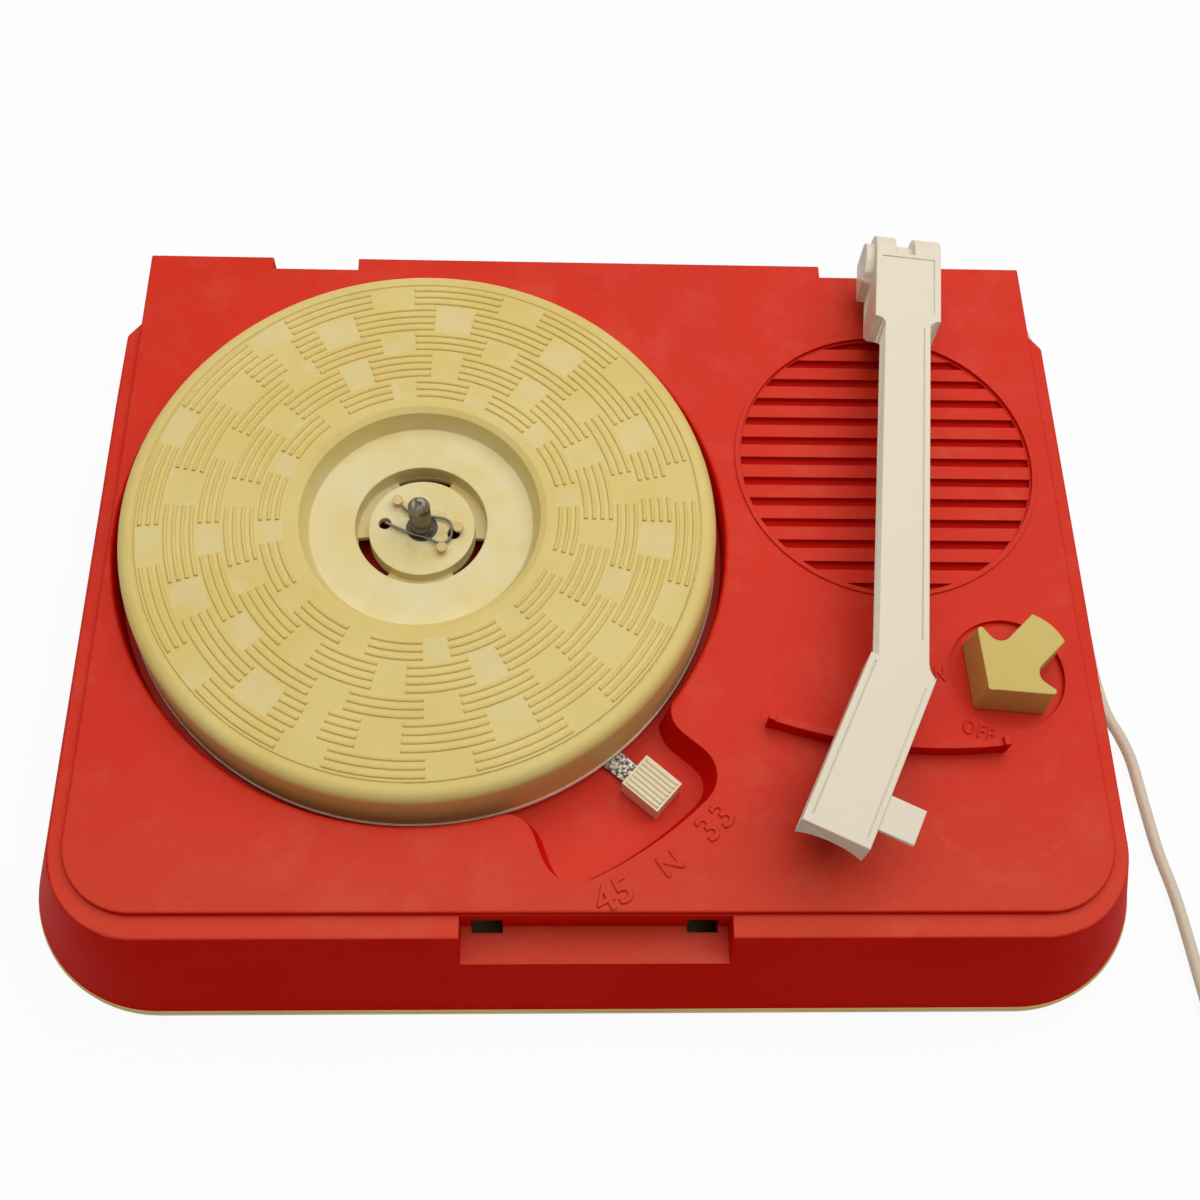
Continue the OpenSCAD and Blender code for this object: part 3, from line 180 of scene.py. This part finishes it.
white = (1, 1, 1, 1)
floor_span, under_feet, white_share = 8.0, -0.0004, 0.93
bpy.ops.mesh.primitive_plane_add(size=floor_span, location=(0, 0, under_feet))
floor = bpy.context.object
floor.name = "floor"
paper = Finish("floor_white", Roughness=1.0, Specular_IOR_Level=0.0)
paper.set(Base_Color=paper.blend(paper.noise(6.0), (0.82, 0.82, 0.82), (0.86, 0.86, 0.86)))
glow = paper.node("ShaderNodeEmission", {}, {"Color": white, "Strength": 1.0})
lit = Shade(paper, paper.shader.outputs[0])
paper.put(paper.tree.nodes["Material Output"].inputs["Surface"],
          paper.node("ShaderNodeMixShader", {}, {0: paper.seen() * white_share, 1: lit, 2: glow}))
coat(floor, paper)

room_light = 0.13
world = bpy.data.worlds.new("room")
scene.world = world
world.use_nodes = True
room = Graph(world.node_tree)
sky = room.tree.nodes["Background"]
room.put(sky.inputs["Color"], white)
room.put(sky.inputs["Strength"], room_light)
dim = Shade(room, sky.outputs[0])
bright = room.node("ShaderNodeBackground", {}, {"Color": white, "Strength": 1.0})
room.put(room.tree.nodes["World Output"].inputs["Surface"],
         room.node("ShaderNodeMixShader", {}, {0: room.seen(), 1: dim, 2: bright}))


def lamp(name, spot, size, power):
    """A square soft lamp that shines at the middle of the player."""
    bpy.ops.object.light_add(type="AREA", location=spot)
    made = bpy.context.object
    made.name = name
    made.data.shape, made.data.size, made.data.energy = "SQUARE", size, power
    made.rotation_euler = (-Vector(spot)).to_track_quat("-Z", "Y").to_euler()


lamp("lamp_top", (0.28, 0.30, 1.15), 1.6, 17.2)
lamp("lamp_left", (-0.80, 0.10, 0.85), 0.8, 1.6)


# Mains cord: a soft cream vinyl lead, held in the back wall by a moulded relief that turns it aside.
# It runs on the table along the right side and lies wound up in two layers, held by a tie, with its moulded
# two pin plug beside the coil. Its route is in millimetres.
def through(points, steps):
    """Points on the smooth curve through the given ones."""
    ends = [points[0], *points, points[-1]]
    made = []
    for i in range(len(points) - 1):
        a, b, c, d = (Vector(p) for p in ends[i:i + 4])
        for k in range(steps):
            t = k / steps
            made.append(0.5 * (2 * b + (c - a) * t + (2 * a - 5 * b + 4 * c - d) * t * t
                               + (3 * b - a - 3 * c + d) * t * t * t))
    return made + [Vector(points[-1])]


def pick(*pieces):
    """Selects these pieces alone, with the first as the active one."""
    bpy.ops.object.select_all(action="DESELECT")
    for piece in pieces:
        piece.select_set(True)
    bpy.context.view_layer.objects.active = pieces[0]


metre = 1000
cord_thick = 0.004
route = [(132.446, 148.222, 12.5), (136.046, 152.222, 12.1), (140.546, 156.222, 10.9),
         (146.046, 159.322, 9.0), (152.246, 160.722, 6.8), (158.546, 160.022, 4.8),
         (164.346, 157.422, 3.3), (169.346, 153.222, 2.5), (173.3, 147.8, 2.2), (176.3, 141.2, 2.2),
         (178.6, 133.5, 2.2), (180.2, 124.5, 2.2), (181.3, 114, 2.2), (181.9, 102, 2.2), (182, 88, 2.2),
         (182, 70, 2.2), (182, 45, 2.2), (182, 20, 2.2), (182, 0, 2.2), (182.6, -15, 2.2),
         (184.5, -28, 2.2), (188, -37, 2.2), (190.5, -46, 2.2), (192, -60, 2.2),
         (194, -78, 2.2), (197, -93, 2.2), (199, -109, 2.2), (200.5, -124, 2.2), (202.5, -140, 2.2),
         (206, -156, 2.2), (211, -172, 2.2), (215.8, -186, 2.8), (218, -196, 3.4)]
tail = [(282, -200, 8.1), (282, -192, 7.8), (282, -183, 6.8), (282, -174, 6.2), (282, -166, 6.2)]
into_coil = Vector((218, -200, 3.4))
coil_x, coil_y, coil_low = 250, -204, 3.4
coil_radius, coil_pitch, coil_turns, coil_steps, climb_from = 32, 4.7, 6.5, 36, 3
coil = []
for k in range(1, round(coil_turns * coil_steps)):
    s = k / coil_steps
    radius = coil_radius - coil_pitch * (coil_turns / 2 - abs(s - coil_turns / 2))
    rise = min(max(2 * (s - climb_from), 0), 1)
    coil.append(Vector((coil_x - radius * math.cos(2 * math.pi * s),
                        coil_y - radius * math.sin(2 * math.pi * s),
                        coil_low + coil_pitch * rise * rise * (3 - 2 * rise))))
line = through(route, steps=4) + [into_coil] + coil + through(tail, steps=4)
cord_curve = bpy.data.curves.new("mains_cord", "CURVE")
cord_curve.dimensions = "3D"
cord_curve.bevel_depth, cord_curve.bevel_resolution = cord_thick / 2, 4
cord_curve.use_fill_caps = True
spline = cord_curve.splines.new("POLY")
spline.points.add(len(line) - 1)
for point, spot in zip(spline.points, line):
    point.co = (*(spot / metre), 1.0)
spline.use_smooth = True
cord = bpy.data.objects.new("mains_cord", cord_curve)
scene.collection.objects.link(cord)
pick(cord)
bpy.ops.object.convert(target="MESH")
cord = bpy.context.object
bpy.ops.object.shade_smooth_by_angle(angle=math.radians(50))
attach(cord, "case")
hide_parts("cord_run", "cord_coil", "cord_tail")
cord_length = sum((b - a).length for a, b in zip(line, line[1:])) / metre
tuple(line[0] / metre)
[tuple(spot / metre) for spot in line]


def moulded(name, colour, other, rough=0.42, shine=0.25, grain=0.00003, grain_scale=2200.0, edge=0.0005,
            drift=14.0, dirt=None, dirt_level=0.62):
    """Moulded plastic: a colour that drifts, dirt in patches, and the fine grain of the mould."""
    finish = Finish(name, Specular_IOR_Level=shine)
    cloud = finish.step(finish.noise(drift, 5.0, 0.6), 0.30, 0.70)
    tone = finish.blend(cloud, colour, other)
    speck = finish.step(finish.noise(420.0, 6.0, 0.7), 0.62, 0.74)
    if dirt:
        patch = finish.step(finish.noise(60.0, 6.0, 0.65), dirt_level, dirt_level + 0.12)
        tone = finish.blend((patch * 0.7 + speck * 0.3) * 0.8, tone, dirt)
    fine = finish.noise(grain_scale, 3.0, 0.5)
    finish.set(Base_Color=tone, Roughness=cloud * 0.10 + speck * 0.15 + fine * 0.10 + (rough - 0.10))
    finish.bump(fine, grain, edge)
    return finish


def metal(name, colour, other, rough=0.3, spots=None, spot_level=0.60, spot_scale=240.0, metallic=1.0):
    """Bare or plated metal: a brushed sheen, with tarnish in patches."""
    finish = Finish(name, Metallic=metallic)
    cloud = finish.noise(90.0, 5.0, 0.6)
    fine = finish.noise(1400.0, 4.0, 0.6)
    tone = finish.blend(finish.step(cloud, 0.3, 0.7), colour, other)
    rust = finish.step(finish.noise(spot_scale, 7.0, 0.7), spot_level, spot_level + 0.12)
    if spots:
        tone = finish.blend(rust, tone, spots)
        finish.set(Metallic=(1.0 - rust * 0.8) * metallic)
    finish.set(Base_Color=tone, Roughness=cloud * 0.15 + rust * 0.3 + fine * 0.1 + (rough - 0.1))
    finish.bump(fine, 0.00002, 0.0002)
    return finish


def dress(finish, *names):
    for name in names:
        coat(nodes[name], finish)


cord_vinyl = moulded("cord_vinyl", (0.74, 0.66, 0.52), (0.66, 0.56, 0.42), grain=0.00002, edge=0.0,
                     dirt=(0.40, 0.30, 0.19), dirt_level=0.66)
coat(cord, cord_vinyl)
dress(cord_vinyl, "strain_relief", "plug_body")
tie_white = moulded("tie_white", (0.70, 0.70, 0.68), (0.62, 0.62, 0.60), rough=0.5, edge=0.0)
dress(tie_white, "cord_tie")
nickel = metal("nickel", (0.70, 0.68, 0.62), (0.60, 0.58, 0.54), rough=0.28)
dress(nickel, "plug_pins")


# Case: one red moulding of grained plastic, with the deck, the lid ledge, the platter well and the grille.
# It is screwed from below to a cream tray on four rubber feet. Its upper faces have a paler red, partly dust
# and partly painted sheen, most of all near the front, and half a ring is worn in the deck at the right.
clean_red, deep_red, dust_and_sheen_red = (0.660, 0.008, 0.002), (0.620, 0.006, 0.001), (0.640, 0.072, 0.030)
fleck_red, scratch_red = (0.62, 0.14, 0.10), (0.66, 0.12, 0.08)
scratch_x, scratch_y, scratch_radius = 0.1255, -0.0685, 0.0266
case_red = Finish("case_red", Specular_IOR_Level=0.012, Coat_Roughness=0.42)
facing = case_red.node("ShaderNodeTexCoord", out="Normal")
upper = case_red.step(case_red.node("ShaderNodeSeparateXYZ", {}, {"Vector": facing}, out="Z"), 0.55, 0.95)
drift = case_red.step(case_red.noise(11.0, 5.0, 0.6), 0.30, 0.70)
dust = case_red.step(case_red.noise(46.0, 7.0, 0.7), 0.46, 0.72)
right, ahead = case_red.axes(scratch_x, scratch_y)[:2]
near = case_red.step(ahead, -0.064, 0.020, 1.0, 0.0)
tone = case_red.blend(drift, clean_red, deep_red)
# Upper faces, most of all near the front, are painted a paler red: some dust, but mostly painted sheen.
tone = case_red.blend(upper * (dust * 0.20 + near * 0.34 + 0.34), tone, dust_and_sheen_red)
speck = case_red.step(case_red.noise(520.0, 5.0, 0.7), 0.66, 0.76)
tone = case_red.blend(speck * upper * 0.35, tone, fleck_red)
off_ring = abs((right * right + ahead * ahead) ** 0.5 - scratch_radius)
ring = case_red.step(off_ring, 0.0003, 0.0011, 1.0, 0.0)
scratch = ring * (ahead < -0.010) * upper * case_red.step(case_red.noise(160.0), 0.40, 0.60)
tone = case_red.blend(scratch * 0.16, tone, scratch_red)
hide = case_red.noise(900.0, 3.0, 0.60)
case_red.set(Base_Color=tone, Roughness=drift * 0.08 + dust * 0.10 + hide * 0.10 + 0.42,
             Coat_Weight=upper * (dust * 0.10 + 0.18))
case_red.bump(hide, 0.00016, 0.0004)
dress(case_red, "top_case")
tray_cream = moulded("tray_cream", (0.66, 0.49, 0.16), (0.60, 0.43, 0.12), edge=0.0008,
                     dirt=(0.34, 0.22, 0.10))
dress(tray_cream, "base_tray")
rubber = moulded("rubber_black", (0.020, 0.019, 0.018), (0.035, 0.033, 0.030), rough=0.7, grain=0.00005,
                 dirt=(0.07, 0.06, 0.05))
dress(rubber, "feet")
steel = metal("steel", (0.52, 0.51, 0.50), (0.40, 0.39, 0.38), rough=0.35, spots=(0.20, 0.11, 0.06),
              spot_level=0.66)
dress(steel, "case_screws")


# Turntable: a cream platter moulded in one piece, with a basket pattern of raised ribs round a sunk label.
# It turns on a fixed steel spindle with a bronze bush, over a fibre washer, and a wire clip sits on its hub.
spindle_x, spindle_y = -0.057, 0.018
rib_top, rib_thick, rib_flat = 0.06095, 0.00072, 0.9
rib_outer, rib_pitch, cells = 0.0900, 0.00275, 12
early, late = 8.5, 23.5
rib_rows = ((0, 3, late), (3, 4, early), (7, 3, late), (10, 4, early), (14, 3, late))
platter_cream = Finish("platter_cream", Specular_IOR_Level=0.25)
right, ahead, height = platter_cream.axes(spindle_x, spindle_y)
reach = (right * right + ahead * ahead) ** 0.5
turns = right.maths("ARCTAN2", ahead, right) * (cells / (2 * math.pi))


def row_edge(first_rib):
    """The radius half way between a row's first rib and the rib outside it."""
    return rib_outer - rib_pitch * (first_rib - 0.5)


def blank(degrees):
    """Marks the smooth cells between the ribbed ones in a row of the basket pattern."""
    part = turns.maths("FRACT", turns + (0.5 - degrees * cells / 360))
    return platter_cream.step(abs(part - 0.5), 0.13, 0.18, 1.0, 0.0)


outer, second, third, fourth = (row_edge(row) for row, count, degrees in rib_rows[1:])
late_row = (reach > outer) | ((reach > third) * (reach < second)) | (reach < fourth)
cell = blank(early) * late_row + blank(late) * (1.0 - late_row)
ribbed_band = (reach > 0.0446) * (reach < 0.0914) * (height > 0.0600)
rubbed = cell * ribbed_band * platter_cream.step(platter_cream.noise(42.0, 2.0, 0.5), 0.47, 0.60)
yellowing = platter_cream.step(platter_cream.noise(16.0, 5.0, 0.6), 0.35, 0.68)
tone = platter_cream.blend(yellowing, (0.705, 0.550, 0.194), (0.675, 0.503, 0.147))
tone = platter_cream.blend(rubbed * 0.5, tone, (0.710, 0.595, 0.310))
label = platter_cream.step(reach, 0.0360, 0.0400, 1.0, 0.0)
pale = platter_cream.step(platter_cream.noise(36.0, 5.0, 0.6), 0.32, 0.62)
tone = platter_cream.blend(label * (pale * 0.70 + 0.28), tone, (0.730, 0.635, 0.350))
near_pin = platter_cream.step(reach, 0.006, 0.0155, 1.0, 0.0)
stain = platter_cream.step(platter_cream.noise(190.0, 6.0, 0.65), 0.44, 0.62) * near_pin
posts = (height > 0.0514) * (reach < 0.0165)
tone = platter_cream.blend(stain * 0.5 + posts * 0.6, tone, (0.60, 0.40, 0.12))
# The platter's bottom lip is painted near white: a painted highlight along the lower rim.
lip_highlight = platter_cream.step(height, 0.0406, 0.0412, 1.0, 0.0) * (reach > 0.096)
tone = platter_cream.blend(lip_highlight, tone, (0.86, 0.78, 0.64))
soot = platter_cream.step(platter_cream.noise(320.0, 7.0, 0.7), 0.66, 0.76)
tone = platter_cream.blend(soot * 0.30, tone, (0.42, 0.27, 0.09))
mould = platter_cream.noise(2600.0, 3.0, 0.5)
platter_cream.set(Base_Color=tone, Roughness=yellowing * 0.12 + soot * 0.15 + mould * 0.10 + 0.36)
platter_cream.bump(mould, 0.00002, 0.0006)
dress(platter_cream, "platter")
spindle_steel = metal("spindle_steel", (0.22, 0.19, 0.125), (0.13, 0.105, 0.06), rough=0.46,
                      spots=(0.05, 0.03, 0.015), spot_level=0.48, metallic=0.6)
dress(spindle_steel, "spindle")
bush_bronze = metal("bush_bronze", (0.070, 0.052, 0.032), (0.045, 0.033, 0.020), rough=0.50,
                    spots=(0.02, 0.014, 0.009), metallic=0.4)
dress(bush_bronze, "spindle_bush")
clip_wire = metal("clip_wire", (0.19, 0.175, 0.15), (0.12, 0.105, 0.088), rough=0.42,
                  spots=(0.05, 0.033, 0.02), metallic=0.6)
dress(clip_wire, "platter_clip")
fibre = moulded("fibre", (0.16, 0.10, 0.06), (0.11, 0.07, 0.04), rough=0.7)
dress(fibre, "thrust_washer")


def rib(radius, sweep, middle=0.0):
    """One raised rib, a small rounded section swept round the spindle, and the turn that centres it."""
    bpy.ops.object.select_all(action="DESELECT")
    bpy.ops.mesh.primitive_circle_add(vertices=8, radius=rib_thick, fill_type="NGON",
                                      location=(spindle_x + radius, spindle_y, rib_top),
                                      rotation=(math.pi / 2, 0, 0))
    made = bpy.context.object
    bpy.ops.object.transform_apply(location=False, rotation=True, scale=False)
    made.scale = (1.0, 1.0, rib_flat)
    bpy.ops.object.transform_apply(location=True, rotation=True, scale=True)
    bpy.ops.object.mode_set(mode="EDIT")
    bpy.ops.mesh.select_all(action="SELECT")
    bpy.ops.mesh.spin(steps=6, angle=math.radians(sweep), center=(spindle_x, spindle_y, 0), axis=(0, 0, 1))
    bpy.ops.mesh.edge_face_add()
    bpy.ops.mesh.select_all(action="SELECT")
    bpy.ops.mesh.remove_doubles(threshold=1e-6)
    bpy.ops.mesh.normals_make_consistent(inside=False)
    bpy.ops.object.mode_set(mode="OBJECT")
    return made, middle + sweep / 2


pin = Vector((spindle_x, spindle_y, 0))
whole_sweep, split_row = 20.0, 3
split_ribs = ((6.25, -6.875), (8.0, 6.0))
ribs = []
for row, count, degrees in rib_rows:
    for k in range(row, row + count):
        radius = rib_outer - rib_pitch * k
        whole = rib(radius, whole_sweep)
        split = [rib(radius, sweep, middle) for sweep, middle in split_ribs] if row == split_row else []
        for n in range(cells):
            for shape, start in (split if split and n % 4 == 0 else [whole]):
                copy = bpy.data.objects.new("rib", shape.data.copy())
                angle = math.radians(degrees + 360 / cells * n + start)
                copy.data.transform(Matrix.Translation(pin) @ Matrix.Rotation(angle, 4, "Z")
                                    @ Matrix.Translation(-pin))
                scene.collection.objects.link(copy)
                ribs.append(copy)
        for spare, start in [whole, *split]:
            bpy.data.objects.remove(spare)
pick(*ribs)
bpy.ops.object.join()
weave = bpy.context.object
weave.name = "platter_ribs"
bpy.ops.object.shade_smooth_by_angle(angle=math.radians(50))
coat(weave, platter_cream)
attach(weave, "platter")


# Drive: a small shaded pole motor of steel sheets and copper wire, screwed up under the deck by its plate.
# Its stepped nickel pulley turns a nylon idler wheel with a rubber tyre, carried by a steel arm, and the tyre
# turns the platter's rim from inside.
lamination = metal("lamination", (0.34, 0.33, 0.32), (0.22, 0.20, 0.18), rough=0.45, spots=(0.18, 0.08, 0.03))
dress(lamination, "motor_core")
copper = metal("copper_wire", (0.55, 0.22, 0.08), (0.45, 0.16, 0.05), rough=0.35)
dress(copper, "motor_coil")
nylon = moulded("idler_nylon", (0.60, 0.55, 0.45), (0.52, 0.47, 0.37), rough=0.5)
dress(nylon, "idler_wheel")
dress(rubber, "idler_tyre")
dress(nickel, "motor_rotor", "idler_pin")
dress(steel, "motor_screws", "motor_plate", "idler_arm")


# Speed control: a strip of bare steel, speckled with rust, that swings on a screw in a recess of the deck.
# A ribbed ivory cap, moulded in plastic, is pushed on its end for the finger.
strip_steel = metal("strip_steel", (0.60, 0.58, 0.50), (0.46, 0.42, 0.34), rough=0.45,
                    spots=(0.10, 0.06, 0.030), spot_level=0.44, spot_scale=900.0, metallic=0.6)
dress(strip_steel, "speed_lever")
cap_ivory = moulded("cap_ivory", (0.78, 0.68, 0.46), (0.74, 0.63, 0.41), rough=0.36, dirt=(0.42, 0.28, 0.12),
                    dirt_level=0.64)
dress(cap_ivory, "lever_cap")
dress(nickel, "lever_pivot")


# Tonearm: a white channel moulding with soft edges, which lifts on a pin in a black turret.
# The turret turns in the deck, held by a steel clip below, and the black cartridge with its needle is fixed
# under the arm's head.
arm_round = 0.0007
arm_white = moulded("arm_white", (0.755, 0.675, 0.522), (0.735, 0.652, 0.495), rough=0.38, grain=0.00002,
                    edge=0.0007, dirt=(0.58, 0.44, 0.27), dirt_level=0.70)


def softened(name, width, body, finish):
    """A copy of a moulded piece with its sharp edges rounded over, in place of the plain one."""
    made = bpy.data.objects.new(name + "_rounded", nodes[name].data.copy())
    scene.collection.objects.link(made)
    pick(made)
    bpy.ops.object.mode_set(mode="EDIT")
    bpy.ops.mesh.select_all(action="SELECT")
    bpy.ops.mesh.remove_doubles(threshold=1e-5)
    bpy.ops.mesh.dissolve_limited(angle_limit=math.radians(1.5))
    bpy.ops.object.mode_set(mode="OBJECT")
    sharp = math.radians(40)
    round_over = made.modifiers.new("round_over", "BEVEL")
    round_over.width, round_over.segments = width, 4
    round_over.limit_method, round_over.angle_limit = "ANGLE", sharp
    bpy.ops.object.modifier_apply(modifier=round_over.name)
    bpy.ops.object.shade_smooth_by_angle(angle=sharp)
    level = made.modifiers.new("level", "WEIGHTED_NORMAL")
    level.weight, level.keep_sharp = 100, True
    bpy.ops.object.modifier_apply(modifier=level.name)
    coat(made, finish)
    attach(made, body)
    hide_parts(name)
    return made


softened("tonearm", arm_round, "arm", arm_white)
black_plastic = moulded("black_plastic", (0.025, 0.024, 0.023), (0.040, 0.038, 0.035), rough=0.45)
dress(black_plastic, "cartridge", "arm_turret")
needle_red = metal("needle_red", (0.45, 0.05, 0.03), (0.35, 0.03, 0.02), rough=0.35, metallic=0.2)
dress(needle_red, "stylus")
dress(nickel, "lift_pin")
dress(steel, "turret_clip")


# Sound: a paper cone speaker in a pressed steel frame, screwed up under the grille behind red cloth.
# A small amplifier on a fibre board, with its coloured parts, is fixed beside it.
cone_paper = moulded("cone_paper", (0.12, 0.10, 0.08), (0.08, 0.065, 0.05), rough=0.9, grain=0.0001)
dress(cone_paper, "speaker_cone")
grille_cloth = moulded("grille_cloth", (0.460, 0.006, 0.003), (0.400, 0.005, 0.002), rough=0.95, shine=0.05,
                       grain=0.0002, grain_scale=900.0)
dress(grille_cloth, "grille_cloth")
board_parts = moulded("board_parts", (0.10, 0.14, 0.20), (0.26, 0.19, 0.08), rough=0.4, drift=90.0)
dress(board_parts, "board_parts")
dress(fibre, "amp_board")
dress(lamination, "speaker_magnet")
dress(steel, "speaker_frame", "speaker_screws")


# Switch: a black rotary switch under the deck, with a nickel shaft through a shallow round recess.
# Its knob is a cream arrow moulded in plastic, soft at the edges and a little wider at the foot, and is
# pushed on the shaft.
knob_x, knob_y = 0.1339, -0.0325
knob_round, knob_flare = 0.0014, 0.08
knob_cream = moulded("knob_cream", (0.600, 0.450, 0.122), (0.570, 0.415, 0.100), rough=0.36,
                     dirt=(0.40, 0.22, 0.06), dirt_level=0.70)
pointer = softened("knob", knob_round, "switch_knob", knob_cream)
foot, top = (corner[2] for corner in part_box("knob"))
for corner in pointer.data.vertices:
    wider = 1 + knob_flare * (top - corner.co.z) / (top - foot)
    corner.co.x = knob_x + (corner.co.x - knob_x) * wider
    corner.co.y = knob_y + (corner.co.y - knob_y) * wider
dress(black_plastic, "switch_body")
dress(nickel, "switch_shaft")


# Marks: low raised figures and words with rounded strokes, moulded in one with the red deck.
# The speeds stand round the recess of the lever, and the words of the switch beside its knob.
deck_top, mark_raise, stroke_round = 0.0490, 0.00040, 0.025


def lettering(name, text, spot, angle, size, narrow=1.0, gap=1.08):
    """Raised figures on the deck beside a control."""
    bpy.ops.object.select_all(action="DESELECT")
    bpy.ops.object.text_add()
    made = bpy.context.object
    made.data.body, made.data.size = text, size
    made.data.align_x, made.data.align_y = "CENTER", "CENTER"
    made.data.extrude, made.data.bevel_depth = mark_raise, stroke_round * size
    made.data.bevel_resolution = 2
    made.data.space_character = gap
    made.data.resolution_u = 3
    bpy.ops.object.convert(target="MESH")
    made = bpy.context.object
    made.name = name
    made.data.transform(Matrix.Translation((*spot, deck_top)) @ Matrix.Rotation(math.radians(angle), 4, "Z")
                        @ Matrix.Diagonal((narrow, 1.0, 1.0, 1.0)))
    coat(made, case_red)
    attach(made, "case")


lettering("mark_33", "33", (0.0370, -0.0822), 42.9, 0.0117)
lettering("mark_n", "N", (0.0225, -0.0953), 35.1, 0.0094)
lettering("mark_45", "45", (0.0053, -0.1048), 27.2, 0.0115)
lettering("mark_off", "OFF", (0.1219, -0.0523), -21.0, 0.0068, narrow=0.74, gap=1.25)
lettering("mark_on", "ON", (0.1095, -0.0330), 0.0, 0.0066, narrow=0.74, gap=1.25)
